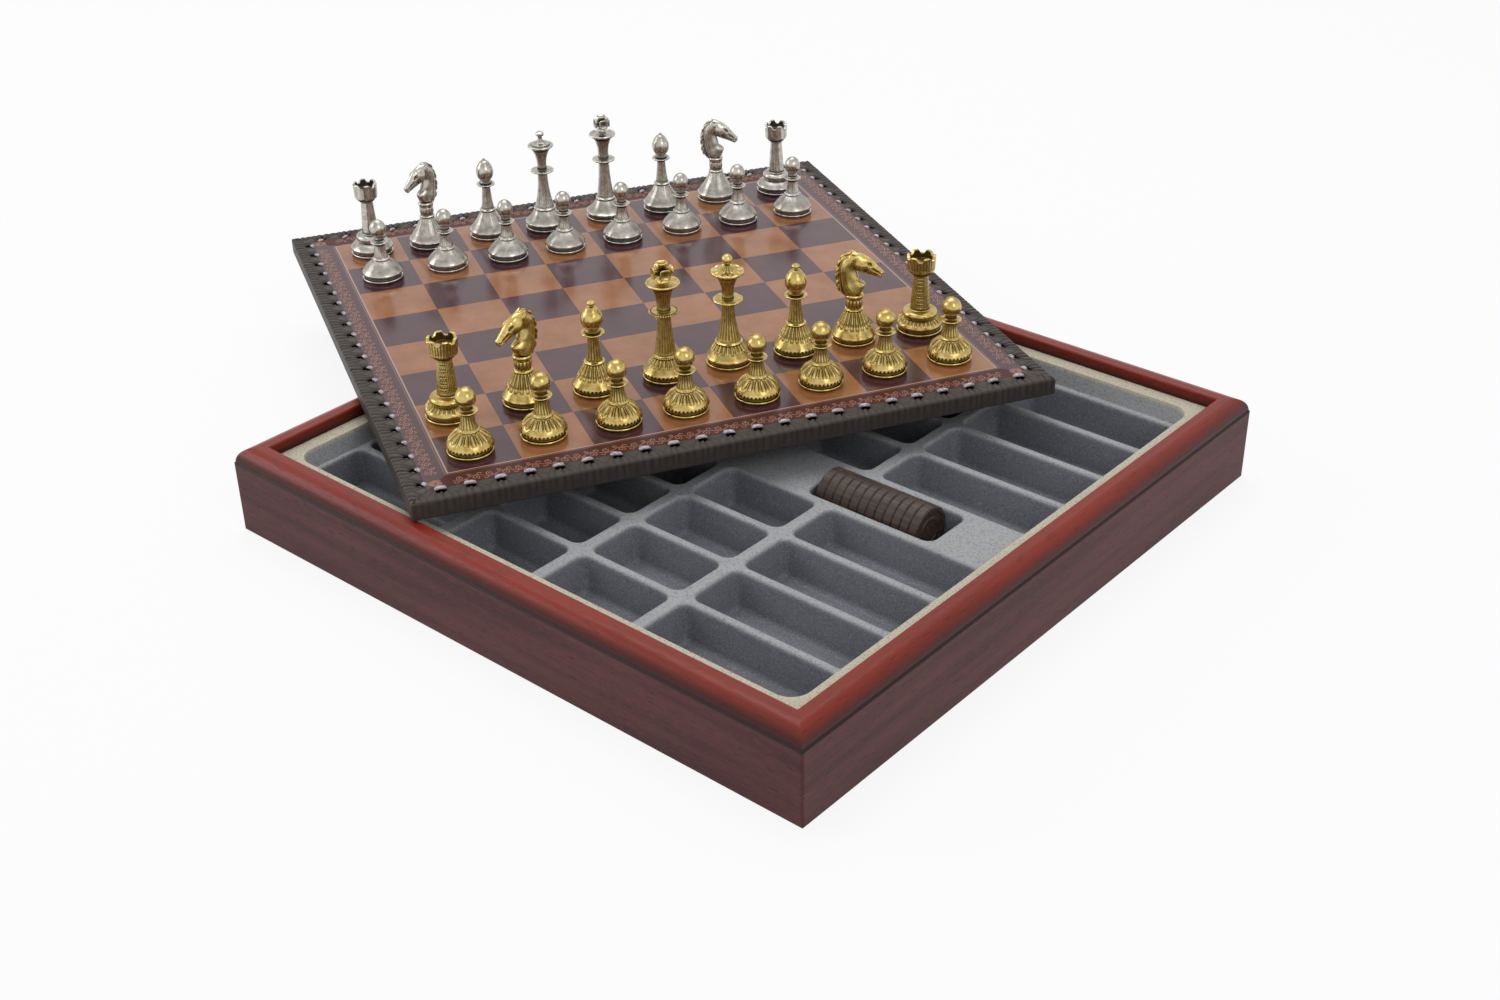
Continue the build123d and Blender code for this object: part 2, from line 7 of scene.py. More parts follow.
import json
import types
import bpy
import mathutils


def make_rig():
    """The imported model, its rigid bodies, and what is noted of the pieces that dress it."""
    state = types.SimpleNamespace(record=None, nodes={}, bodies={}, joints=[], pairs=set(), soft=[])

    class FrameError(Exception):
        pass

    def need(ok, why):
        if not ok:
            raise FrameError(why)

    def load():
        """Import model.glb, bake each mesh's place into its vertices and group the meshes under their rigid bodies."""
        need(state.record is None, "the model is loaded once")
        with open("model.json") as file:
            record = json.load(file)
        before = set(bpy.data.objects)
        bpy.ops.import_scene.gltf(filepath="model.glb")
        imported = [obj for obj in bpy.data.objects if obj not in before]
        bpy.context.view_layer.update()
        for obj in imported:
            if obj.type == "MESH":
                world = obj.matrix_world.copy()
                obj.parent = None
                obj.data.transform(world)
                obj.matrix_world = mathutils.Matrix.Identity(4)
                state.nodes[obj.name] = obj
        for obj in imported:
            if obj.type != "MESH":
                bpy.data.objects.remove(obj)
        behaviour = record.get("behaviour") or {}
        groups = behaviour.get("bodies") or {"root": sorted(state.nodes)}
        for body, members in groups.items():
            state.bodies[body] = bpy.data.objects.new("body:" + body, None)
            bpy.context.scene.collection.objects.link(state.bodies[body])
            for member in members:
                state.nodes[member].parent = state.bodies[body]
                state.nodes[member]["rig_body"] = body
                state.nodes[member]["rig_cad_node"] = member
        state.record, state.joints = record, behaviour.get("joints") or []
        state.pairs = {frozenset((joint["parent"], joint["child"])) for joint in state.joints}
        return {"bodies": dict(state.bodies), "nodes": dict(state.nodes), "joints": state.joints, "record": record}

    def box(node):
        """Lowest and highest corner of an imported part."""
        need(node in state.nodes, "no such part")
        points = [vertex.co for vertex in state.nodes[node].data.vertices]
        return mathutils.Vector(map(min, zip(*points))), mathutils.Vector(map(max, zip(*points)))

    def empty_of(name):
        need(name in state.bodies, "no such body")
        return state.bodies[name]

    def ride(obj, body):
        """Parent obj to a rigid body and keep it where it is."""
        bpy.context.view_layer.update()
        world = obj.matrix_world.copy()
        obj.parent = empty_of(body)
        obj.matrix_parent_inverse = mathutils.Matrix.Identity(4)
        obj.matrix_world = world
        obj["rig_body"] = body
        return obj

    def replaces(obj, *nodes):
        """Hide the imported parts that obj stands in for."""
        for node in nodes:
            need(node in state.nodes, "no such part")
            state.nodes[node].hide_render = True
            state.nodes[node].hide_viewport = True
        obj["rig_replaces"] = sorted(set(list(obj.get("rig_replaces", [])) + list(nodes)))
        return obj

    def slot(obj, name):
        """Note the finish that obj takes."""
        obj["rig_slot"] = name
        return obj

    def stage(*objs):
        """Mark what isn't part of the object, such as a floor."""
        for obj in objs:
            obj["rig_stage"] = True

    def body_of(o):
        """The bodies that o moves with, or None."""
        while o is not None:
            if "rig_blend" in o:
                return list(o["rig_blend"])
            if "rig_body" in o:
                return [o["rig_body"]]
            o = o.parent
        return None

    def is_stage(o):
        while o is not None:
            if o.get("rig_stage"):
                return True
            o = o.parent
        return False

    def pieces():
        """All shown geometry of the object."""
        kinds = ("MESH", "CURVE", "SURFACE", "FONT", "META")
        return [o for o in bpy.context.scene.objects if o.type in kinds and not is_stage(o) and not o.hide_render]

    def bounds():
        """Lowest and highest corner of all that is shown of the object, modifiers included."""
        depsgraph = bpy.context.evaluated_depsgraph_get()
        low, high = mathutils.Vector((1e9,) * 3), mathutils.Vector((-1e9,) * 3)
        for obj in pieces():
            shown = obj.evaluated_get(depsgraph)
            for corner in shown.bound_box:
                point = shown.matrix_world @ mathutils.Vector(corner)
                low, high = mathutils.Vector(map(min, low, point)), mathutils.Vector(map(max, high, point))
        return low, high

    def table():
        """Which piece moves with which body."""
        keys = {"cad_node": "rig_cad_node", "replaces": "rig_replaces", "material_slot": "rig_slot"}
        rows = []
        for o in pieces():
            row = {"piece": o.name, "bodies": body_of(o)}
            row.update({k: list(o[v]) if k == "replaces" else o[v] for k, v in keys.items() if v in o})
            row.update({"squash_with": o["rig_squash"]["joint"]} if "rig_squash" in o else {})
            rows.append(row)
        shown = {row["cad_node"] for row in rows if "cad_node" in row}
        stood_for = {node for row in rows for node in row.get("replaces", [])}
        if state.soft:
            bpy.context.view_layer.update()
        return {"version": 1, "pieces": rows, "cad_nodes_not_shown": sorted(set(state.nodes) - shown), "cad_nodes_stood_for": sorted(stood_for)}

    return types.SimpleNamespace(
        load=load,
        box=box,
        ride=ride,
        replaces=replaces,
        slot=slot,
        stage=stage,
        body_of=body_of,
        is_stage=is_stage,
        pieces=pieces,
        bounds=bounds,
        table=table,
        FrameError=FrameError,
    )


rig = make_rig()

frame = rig.load()

import json
import logging
import math
from dataclasses import dataclass, field
from enum import Enum
from typing import Any, Callable, Iterable, Sequence

import bpy
import numpy as np
from mathutils import Matrix, Vector

LOG = logging.getLogger("chess_box")
CAD_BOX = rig.bounds()
MM = 0.001

FACE_TOP_MM = 38.0
QUIRK_TOP_MM = 38.9
RIM_TOP_MM = 46.0
FLANGE_MM = 39.2
CREST_MM = 31.0
BOARD_TURN = math.radians(61.2)
BOARD_HALF_MM = 165.0
SQUARE_MM = 35.6
STITCH_PITCH_MM = 14.2
STITCHES_A_SIDE = 22
KING_HEIGHT_MM = 62.9
FOOT_MM = {"pawn": 11.5, "rook": 12.2, "knight": 11.7, "bishop": 11.7, "queen": 12.0, "king": 12.0}
KNIGHT_TURNS = (math.radians(205), math.radians(-20))


class Side(Enum):
    """The four sides of the case and of the board, with how far each is turned from the front one."""

    FRONT = 0
    RIGHT = 1
    BACK = 2
    LEFT = 3

    @property
    def turn(self) -> float:
        """The side's angle from the front side, in radians."""
        return self.value * math.pi / 2


class Metal(Enum):
    """The two platings of the men."""

    GOLD = "gold"
    SILVER = "silver"


class Relief(Enum):
    """The kinds of cast ornament round a man."""

    TONGUES = "slim tongues that end in drops"
    FLUTES = "narrow channels"
    BEADS = "a row of beads"
    MASONRY = "courses of blocks between ribs"
    LOBES = "a scalloped rim"


GIRTH = {Metal.GOLD: 1.0, Metal.SILVER: 0.9}
CROSS_REACH_MM = {Metal.GOLD: 5.3, Metal.SILVER: 4.3}


def linear(code: str) -> tuple[float, float, float, float]:
    """Turns an sRGB hex colour into linear light.

    Args:
        code: the colour as six hex digits.

    Returns:
        Red, green, blue and an alpha of 1.
    """
    channels = [int(code[place:place + 2], 16) / 255 for place in (0, 2, 4)]
    lit = [c / 12.92 if c <= 0.04045 else ((c + 0.055) / 1.055) ** 2.4 for c in channels]
    return (lit[0], lit[1], lit[2], 1.0)


def add_node(tree: bpy.types.NodeTree, kind: str, inputs: dict[Any, Any] | None = None,
             **settings: Any) -> Any:
    """Adds a node to a tree with its settings, values and links.

    Args:
        tree: the node tree.
        kind: the node's type name.
        inputs: socket name or number to a value, or to an output socket to link from.
        settings: attributes of the node.

    Returns:
        The new node.
    """
    node = tree.nodes.new(kind)
    for name, value in settings.items():
        setattr(node, name, value)
    for name, value in (inputs or {}).items():
        if isinstance(value, bpy.types.NodeSocket):
            tree.links.new(value, node.inputs[name])
        else:
            node.inputs[name].default_value = value
    return node


# ---------------------------------------------------------------- finishes


@dataclass(frozen=True)
class Finish:
    """A surface finish with one Principled shader; each kind adds its own pattern."""

    name: str

    def bench(self) -> tuple[bpy.types.Material, bpy.types.NodeTree]:
        """Starts the material.

        Returns:
            The material and its empty node tree.
        """
        material = bpy.data.materials.new(self.name)
        material.use_nodes = True
        material.node_tree.nodes.clear()
        return material, material.node_tree

    def place(self, tree: bpy.types.NodeTree, scale: Sequence[float] = (1, 1, 1), turn: float = 0.0) -> Any:
        """The piece's own coordinates, turned about Z and scaled.

        Args:
            tree: the material's tree.
            scale: factors along the turned X, Y and Z.
            turn: angle in radians that the pattern's X axis is turned from the frame's X.

        Returns:
            The vector socket.
        """
        own = add_node(tree, "ShaderNodeTexCoord").outputs["Object"]
        turned = add_node(tree, "ShaderNodeMapping", {"Vector": own, "Rotation": (0, 0, -turn)}).outputs[0]
        return add_node(tree, "ShaderNodeVectorMath", {0: turned, 1: tuple(scale)},
                        operation="MULTIPLY").outputs[0]

    def mottled(self, tree: bpy.types.NodeTree, scale: Sequence[float], noise: dict[str, float],
                levels: tuple[float, float], tones: tuple[str, str]) -> tuple[Any, Any]:
        """Noise in the piece's own coordinates, and the mottled colour that it gives.

        Args:
            tree: the material's tree.
            scale: the noise's repeats a metre along X, Y and Z.
            noise: its detail, and its roughness where that isn't the usual half.
            levels: the noise values that give the first and the second tone.
            tones: the two colours as hex.

        Returns:
            The noise's socket and the colour's.
        """
        spots = add_node(tree, "ShaderNodeTexNoise",
                         {"Vector": self.place(tree, scale), "Scale": 1.0, **noise}).outputs["Fac"]
        share = add_node(tree, "ShaderNodeMapRange",
                         {"Value": spots, "From Min": levels[0], "From Max": levels[1]}).outputs[0]
        colour = add_node(tree, "ShaderNodeMix", {0: share, 6: linear(tones[0]), 7: linear(tones[1])},
                          data_type="RGBA").outputs[2]
        return spots, colour

    def shade(self, tree: bpy.types.NodeTree, inputs: dict[str, Any]) -> None:
        """Ends the tree with its Principled shader and its output.

        Args:
            tree: the material's tree.
            inputs: the shader's socket names to values, or to output sockets to link from.
        """
        shader = add_node(tree, "ShaderNodeBsdfPrincipled", inputs)
        add_node(tree, "ShaderNodeOutputMaterial", {"Surface": shader.outputs["BSDF"]})


@dataclass(frozen=True)
class StainedMahogany(Finish):
    """Mahogany veneer under a dark red stain and satin lacquer, with a redder turned-over rim.

    To the eye: purple-brown faces with ribbon figure, short dark pores and reddish dashes along the
    grain, and a glossier rim that runs from dark brown-red at its foot to brick red on top; that
    darkening towards its foot is painted shade, and the near-black quirk is painted shade in the groove.
    """

    grain_turn: float = 0.0
    face: str = "5C2F2F"
    face_dark: str = "441D1E"
    pore: str = "200E10"
    dash: str = "78362F"
    rim: str = "862A1C"
    # The rim's darker foot colour is painted shade; the quirk colour is painted shade in the groove and also the rim's
    # pores.
    rim_painted_shade: str = "471914"
    quirk: str = "240C0A"
    figure_mm: float = 7.0
    pore_mm: float = 0.75
    pore_length_mm: float = 8.0

    def grain(self, tree: bpy.types.NodeTree, across_mm: float, along_mm: float,
              low: float, high: float) -> Any:
        """Noise drawn out along the rail.

        Args:
            tree: the material's tree.
            across_mm: its size across the grain.
            along_mm: its size along the grain.
            low: the noise value that gives 0.
            high: the noise value that gives 1.

        Returns:
            The socket of the mask.
        """
        at = self.place(tree, (1000 / along_mm, 1000 / across_mm, 1000 / across_mm), self.grain_turn)
        noise = add_node(tree, "ShaderNodeTexNoise",
                         {"Vector": at, "Scale": 1.0, "Detail": 3.0, "Roughness": 0.55}).outputs["Fac"]
        return add_node(tree, "ShaderNodeMapRange",
                        {"Value": noise, "From Min": low, "From Max": high}).outputs[0]

    def build(self) -> bpy.types.Material:
        """Builds the wood: drawn-out noise for figure, pores and dashes, split by height.

        The split is into face, quirk and rim. The quirk's near-black band is painted shade in the groove,
        and the rim's darker foot is painted shade.
        """
        material, tree = self.bench()
        figure = self.grain(tree, self.figure_mm, self.figure_mm * 16, 0.36, 0.64)
        pores = self.grain(tree, self.pore_mm, self.pore_length_mm, 0.55, 0.66)
        dashes = self.grain(tree, self.pore_mm * 1.5, self.pore_length_mm * 0.8, 0.56, 0.7)
        height = add_node(tree, "ShaderNodeSeparateXYZ", {"Vector": self.place(tree)}).outputs["Z"]
        # The third mask runs up the rim from its painted-shade foot to its lit top.
        above_face, on_rim, rim_shade_ramp = (
            add_node(tree, "ShaderNodeMapRange",
                     {"Value": height, "From Min": low_mm * MM, "From Max": high_mm * MM}).outputs[0]
            for low_mm, high_mm in ((FACE_TOP_MM - 0.9, FACE_TOP_MM - 0.2),
                                    (QUIRK_TOP_MM - 0.2, QUIRK_TOP_MM + 0.7),
                                    (QUIRK_TOP_MM + 1.8, RIM_TOP_MM - 1.0)))
        face = add_node(tree, "ShaderNodeMix", {0: figure, 6: linear(self.face_dark), 7: linear(self.face)},
                        data_type="RGBA").outputs[2]
        for mask, strength, tone in ((dashes, 0.55, self.dash), (pores, 0.75, self.pore)):
            share = add_node(tree, "ShaderNodeMath", {0: mask, 1: strength},
                             operation="MULTIPLY").outputs[0]
            face = add_node(tree, "ShaderNodeMix", {0: share, 6: face, 7: linear(tone)},
                            data_type="RGBA").outputs[2]
        # Painted shade: the rim turns from its darker foot colour to brick red on top.
        rim = add_node(tree, "ShaderNodeMix", {0: rim_shade_ramp, 6: linear(self.rim_painted_shade), 7: linear(self.rim)},
                       data_type="RGBA").outputs[2]
        toned = add_node(tree, "ShaderNodeMapRange",
                         {"Value": figure, "To Min": 0.82, "To Max": 1.06}).outputs[0]
        rim = add_node(tree, "ShaderNodeVectorMath", {0: rim, "Scale": toned}, operation="SCALE").outputs[0]
        share = add_node(tree, "ShaderNodeMath", {0: pores, 1: 0.4}, operation="MULTIPLY").outputs[0]
        rim = add_node(tree, "ShaderNodeMix", {0: share, 6: rim, 7: linear(self.quirk)},
                       data_type="RGBA").outputs[2]
        # Painted shade: the quirk's near-black band between face and rim.
        above = add_node(tree, "ShaderNodeMix", {0: on_rim, 6: linear(self.quirk), 7: rim},
                         data_type="RGBA").outputs[2]
        colour = add_node(tree, "ShaderNodeMix", {0: above_face, 6: face, 7: above},
                          data_type="RGBA").outputs[2]
        rough = add_node(tree, "ShaderNodeMapRange",
                         {"Value": on_rim, "To Min": 0.5, "To Max": 0.3}).outputs[0]
        sunk = add_node(tree, "ShaderNodeBump", {"Height": pores, "Strength": 0.25, "Distance": 0.0002},
                        invert=True).outputs[0]
        self.shade(tree, {"Base Color": colour, "Roughness": rough, "Specular IOR Level": 0.25,
                          "Normal": sunk})
        return material


@dataclass(frozen=True)
class FlockedSheet(Finish):
    """Vacuum-moulded styrene sheet sprayed with short grey flock, a little glossy between the fibres.

    To the eye: a soft grey speckle, paler on the crests and darker down in the pockets, which is
    painted light and shade, and creamier on the trimmed flange. Real flock is 0.3 mm; it is drawn at
    0.9 mm so that it shows.
    """

    base: str = "83858C"
    # The crest colour is painted light on the dividers' tops; the pockets keep the darker base colour as painted
    # shade.
    crest: str = "A7A8AA"
    fleck_dark: str = "62646B"
    fleck_pale: str = "B0B2B8"
    flange: str = "CFC6AE"
    fleck_mm: float = 0.9

    def build(self) -> bpy.types.Material:
        """Builds the flock: two sizes of noise for colour, paler tops by height as painted light, and a fine bump."""
        material, tree = self.bench()
        fleck, cloud = (
            add_node(tree, "ShaderNodeTexNoise",
                     {"Vector": self.place(tree, (repeats,) * 3), "Scale": 1.0, **noise}).outputs["Fac"]
            for repeats, noise in ((1000 / self.fleck_mm, {"Detail": 3.0, "Roughness": 0.8}),
                                   (30, {"Detail": 2.0})))
        height = add_node(tree, "ShaderNodeSeparateXYZ", {"Vector": self.place(tree)}).outputs["Z"]
        colour = linear(self.base)
        # Painted light and shade: the tops by height take the paler crest colour over the pockets' darker base.
        for mask, low, high, tone in ((height, (CREST_MM - 3.0) * MM, (CREST_MM - 0.2) * MM, self.crest),
                                      (height, (FLANGE_MM - 1.5) * MM, FLANGE_MM * MM, self.flange),
                                      (fleck, 0.48, 0.3, self.fleck_dark),
                                      (fleck, 0.54, 0.76, self.fleck_pale)):
            share = add_node(tree, "ShaderNodeMapRange",
                             {"Value": mask, "From Min": low, "From Max": high}).outputs[0]
            colour = add_node(tree, "ShaderNodeMix", {0: share, 6: colour, 7: linear(tone)},
                              data_type="RGBA").outputs[2]
        toned = add_node(tree, "ShaderNodeMapRange",
                         {"Value": cloud, "To Min": 0.9, "To Max": 1.06}).outputs[0]
        colour = add_node(tree, "ShaderNodeVectorMath", {0: colour, "Scale": toned},
                          operation="SCALE").outputs[0]
        fuzz = add_node(tree, "ShaderNodeBump",
                        {"Height": fleck, "Strength": 0.3, "Distance": 0.0004}).outputs[0]
        self.shade(tree, {"Base Color": colour, "Roughness": 0.6, "Specular IOR Level": 0.2,
                          "Coat Weight": 0.12, "Coat Roughness": 0.2, "Normal": fuzz})
        return material


@dataclass(frozen=True)
class PrintedLeather(Finish):
    """Split leather, printed in two browns and sealed with a glossy varnish, thinner on the border.

    To the eye: warm tan and dark plum squares with a fine grain that mirror a pale room and the
    men's feet, two thin light lines round the field, mauve borders left and right and deep
    red-brown ones at the front and back, that difference being partly painted reflection.
    """

    tan: str = "A06A42"
    tan_warm: str = "8C5632"
    plum: str = "49232D"
    plum_dark: str = "391A22"
    line: str = "A98A7E"
    # The side and end border colours differ partly as painted reflection: the sides paler mauve, the ends deep
    # red-brown.
    thin_line: str = "8A6258"
    border_side_print_and_sheen: str = "4E3438"
    border_end_print_and_reflection: str = "47201B"
    grain_mm: float = 0.9
    bands_mm: tuple[float, ...] = (0.0, 0.8, 1.5, 1.8)

    def centred(self, tree: bpy.types.NodeTree) -> Any:
        """Coordinates with their middle in the board's, turned to its sides, height left out."""
        low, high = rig.box("board_core")
        middle = ((low[0] + high[0]) / 2, (low[1] + high[1]) / 2, 0)
        own = add_node(tree, "ShaderNodeTexCoord").outputs["Object"]
        at = add_node(tree, "ShaderNodeVectorMath", {0: own, 1: middle}, operation="SUBTRACT").outputs[0]
        turned = add_node(tree, "ShaderNodeMapping",
                          {"Vector": at, "Rotation": (0, 0, -BOARD_TURN)}).outputs[0]
        return add_node(tree, "ShaderNodeVectorMath", {0: turned, 1: (1, 1, 0)},
                        operation="MULTIPLY").outputs[0]

    def build(self) -> bpy.types.Material:
        """Builds the print: checker, lines and border from the distance to the board's middle."""
        material, tree = self.bench()
        flat = self.centred(tree)
        in_squares = add_node(tree, "ShaderNodeVectorMath", {0: flat, 1: (1 / (SQUARE_MM * MM),) * 3},
                              operation="MULTIPLY").outputs[0]
        lifted = add_node(tree, "ShaderNodeVectorMath", {0: in_squares, 1: (0, 0, 0.5)}).outputs[0]
        parity = add_node(tree, "ShaderNodeTexChecker",
                          {"Vector": lifted, "Scale": 1.0, "Color1": (0, 0, 0, 1),
                           "Color2": (1, 1, 1, 1)}).outputs["Fac"]
        cloud = add_node(tree, "ShaderNodeTexNoise",
                         {"Vector": flat, "Scale": 45.0, "Detail": 5.0, "Roughness": 0.65}).outputs["Fac"]
        worn = add_node(tree, "ShaderNodeMapRange",
                        {"Value": cloud, "From Min": 0.35, "From Max": 0.65}).outputs[0]
        tan, plum = (
            add_node(tree, "ShaderNodeMix", {0: worn, 6: linear(dark), 7: linear(pale)},
                     data_type="RGBA").outputs[2]
            for dark, pale in ((self.tan_warm, self.tan), (self.plum_dark, self.plum)))
        colour = add_node(tree, "ShaderNodeMix", {0: parity, 6: plum, 7: tan}, data_type="RGBA").outputs[2]
        reach = add_node(tree, "ShaderNodeVectorMath", {0: flat}, operation="ABSOLUTE").outputs[0]
        parts = add_node(tree, "ShaderNodeSeparateXYZ", {"Vector": reach}).outputs
        far = add_node(tree, "ShaderNodeMath", {0: parts["X"], 1: parts["Y"]},
                       operation="MAXIMUM").outputs[0]
        at_end = add_node(tree, "ShaderNodeMath", {0: parts["Y"], 1: parts["X"]},
                          operation="GREATER_THAN").outputs[0]
        # Partly painted reflection: the border is a paler mauve on the sides and a deeper red-brown at the ends.
        border = add_node(tree, "ShaderNodeMix",
                          {0: at_end, 6: linear(self.border_side_print_and_sheen), 7: linear(self.border_end_print_and_reflection)},
                          data_type="RGBA").outputs[2]
        tones = (linear(self.line), border, linear(self.thin_line), border)
        field_mm = 4 * SQUARE_MM
        for start_mm, tone in zip(self.bands_mm, tones):
            step = add_node(tree, "ShaderNodeMath", {0: far, 1: (field_mm + start_mm) * MM},
                            operation="GREATER_THAN").outputs[0]
            colour = add_node(tree, "ShaderNodeMix", {0: step, 6: colour, 7: tone},
                              data_type="RGBA").outputs[2]
        thin = add_node(tree, "ShaderNodeMapRange",
                        {"Value": at_end, "To Min": 0.55, "To Max": 0.2}).outputs[0]
        past = add_node(tree, "ShaderNodeMapRange",
                        {"Value": far, "From Min": field_mm * MM,
                         "From Max": (field_mm + 3) * MM}).outputs[0]
        coat = add_node(tree, "ShaderNodeMix", {0: past, 2: 0.85, 3: thin}).outputs[0]
        grain = add_node(tree, "ShaderNodeTexVoronoi",
                         {"Vector": flat, "Scale": 1000 / self.grain_mm}).outputs["Distance"]
        fine = add_node(tree, "ShaderNodeBump",
                        {"Height": grain, "Strength": 0.1, "Distance": 0.0002}).outputs[0]
        wave = add_node(tree, "ShaderNodeBump", {"Height": cloud, "Strength": 0.12, "Distance": 0.0004,
                                                 "Normal": fine}).outputs[0]
        self.shade(tree, {"Base Color": colour, "Roughness": 0.5, "Specular IOR Level": 0.1, "Normal": wave,
                          "Coat Weight": coat, "Coat Roughness": 0.14, "Coat Normal": wave})
        return material


@dataclass(frozen=True)
class FoilPrint(Finish):
    """Matt copper foil stamped into the leather.

    To the eye: thin pinkish-tan scroll lines, a little broken where the foil missed the grain.
    """

    foil: str = "BC8468"
    missed: str = "8A5646"

    def build(self) -> bpy.types.Material:
        """Builds the foil with a fine mottling."""
        material, tree = self.bench()
        colour = self.mottled(tree, (900, 900, 900), {"Detail": 3.0}, (0.38, 0.56),
                              (self.missed, self.foil))[1]
        self.shade(tree, {"Base Color": colour, "Roughness": 0.42})
        return material


@dataclass(frozen=True)
class EdgeLeather(Finish):
    """Thin chrome-tanned leather, black-brown, folded and pulled tight by the lacing.

    To the eye: dark olive-brown with paler rubbed folds, partly painted light on their crests, and
    black holes and valleys of painted shade, both read from the depth of the folds.
    """

    hide: str = "3B3532"
    # The rubbed colour is wear and partly painted light on the fold crests; the hole colour is painted shade in pits
    # and fold valleys.
    rubbed: str = "6E635B"
    hole_painted_shade: str = "070606"
    grain_mm: float = 0.7

    def build(self) -> bpy.types.Material:
        """Builds the leather: rubbed crests, partly painted light, and dark holes and valleys of painted shade from
        the fold attribute, and a fine grain.
        """
        material, tree = self.bench()
        fold = add_node(tree, "ShaderNodeAttribute", attribute_name="fold").outputs["Fac"]
        speck = add_node(tree, "ShaderNodeTexNoise",
                         {"Vector": self.place(tree, (220, 220, 220)), "Scale": 1.0,
                          "Detail": 4.0}).outputs["Fac"]
        # Crests take the rubbed colour, partly painted light; valleys and pits take painted shade.
        high, deep = (
            add_node(tree, "ShaderNodeMapRange",
                     {"Value": fold, "From Min": start, "From Max": end}).outputs[0]
            for start, end in ((0.5, 1.0), (0.32, 0.05)))
        crest = add_node(tree, "ShaderNodeMath", {0: high, 1: speck}, operation="MULTIPLY").outputs[0]
        colour = linear(self.hide)
        for share, tone in ((crest, self.rubbed), (deep, self.hole_painted_shade)):
            colour = add_node(tree, "ShaderNodeMix", {0: share, 6: colour, 7: linear(tone)},
                              data_type="RGBA").outputs[2]
        grain = add_node(tree, "ShaderNodeTexVoronoi",
                         {"Vector": self.place(tree, (1000 / self.grain_mm,) * 3),
                          "Scale": 1.0}).outputs["Distance"]
        pebbled = add_node(tree, "ShaderNodeBump",
                           {"Height": grain, "Strength": 0.3, "Distance": 0.0002}).outputs[0]
        gloss = add_node(tree, "ShaderNodeMapRange",
                         {"Value": deep, "To Min": 0.16, "To Max": 0.0}).outputs[0]
        self.shade(tree, {"Base Color": colour, "Roughness": 0.48, "Specular IOR Level": gloss,
                          "Normal": pebbled})
        return material


@dataclass(frozen=True)
class WaxedLace(Finish):
    """Flat waxed leather lace, pale grey-lilac.

    To the eye: small glossy ovals with a faint twist of fibres.
    """

    pale: str = "BFB4BE"
    shadow: str = "6E6470"

    def build(self) -> bpy.types.Material:
        """Builds the lace with streaks and a clear wax coat."""
        material, tree = self.bench()
        streak, colour = self.mottled(tree, (700, 700, 2400), {"Detail": 3.0}, (0.35, 0.6),
                                      (self.shadow, self.pale))
        fibres = add_node(tree, "ShaderNodeBump",
                          {"Height": streak, "Strength": 0.3, "Distance": 0.0003}).outputs[0]
        self.shade(tree, {"Base Color": colour, "Roughness": 0.3, "Coat Weight": 0.6,
                          "Coat Roughness": 0.12, "Normal": fibres})
        return material


@dataclass(frozen=True)
class AntiquedPlating(Finish):
    """Cast zamak, plated, blackened and rubbed back.

    To the eye: bright metal on every raised edge, dark in every recess, with fine level scratches
    from buffing. The recess darkness is patina, and in the turned grooves also painted shade.
    """

    bright: str = "D8C37E"
    warm: str = "B59551"
    recess: str = "281A08"
    rough_bright: float = 0.2
    rough_recess: float = 0.55
    patina_mm: float = 3.0
    scratch_mm: float = 0.35

    def build(self) -> bpy.types.Material:
        """Builds the plating: the recess attribute, cloudy patina, and bumps of casting and buffing."""
        material, tree = self.bench()
        recess = add_node(tree, "ShaderNodeAttribute", attribute_name="recess").outputs["Fac"]
        cloud, metal = self.mottled(tree, (1000 / self.patina_mm,) * 3, {"Detail": 4.0, "Roughness": 0.6},
                                    (0.35, 0.65), (self.warm, self.bright))
        colour = add_node(tree, "ShaderNodeMix", {0: recess, 6: metal, 7: linear(self.recess)},
                          data_type="RGBA").outputs[2]
        rough = add_node(tree, "ShaderNodeMapRange",
                         {"Value": recess, "To Min": self.rough_bright,
                          "To Max": self.rough_recess}).outputs[0]
        cast = add_node(tree, "ShaderNodeBump",
                        {"Height": cloud, "Strength": 0.12, "Distance": 0.0004}).outputs[0]
        at = self.place(tree, (120, 120, 1000 / self.scratch_mm))
        scratch = add_node(tree, "ShaderNodeTexNoise",
                           {"Vector": at, "Scale": 1.0, "Detail": 2.0}).outputs["Fac"]
        buffed = add_node(tree, "ShaderNodeBump", {"Height": scratch, "Strength": 0.1, "Distance": 0.0001,
                                                   "Normal": cast}).outputs[0]
        self.shade(tree, {"Base Color": colour, "Metallic": 1.0, "Roughness": rough, "Normal": buffed})
        return material


@dataclass(frozen=True)
class PressedDraught(Finish):
    """Pressed wood-flour composition, stained.

    To the eye: a dull, slightly streaky brown disc whose worn edges are paler.
    """

    body: str = "352923"
    worn: str = "54453A"
    streak_mm: float = 1.4

    def build(self) -> bpy.types.Material:
        """Builds the composition with streaks across the edge of the discs."""
        material, tree = self.bench()
        across = 1000 / self.streak_mm
        streak, colour = self.mottled(tree, (60, across, across), {"Detail": 3.0}, (0.4, 0.7),
                                      (self.body, self.worn))
        pressed = add_node(tree, "ShaderNodeBump",
                           {"Height": streak, "Strength": 0.2, "Distance": 0.0003}).outputs[0]
        self.shade(tree, {"Base Color": colour, "Roughness": 0.42, "Specular IOR Level": 0.3,
                          "Normal": pressed})
        return material


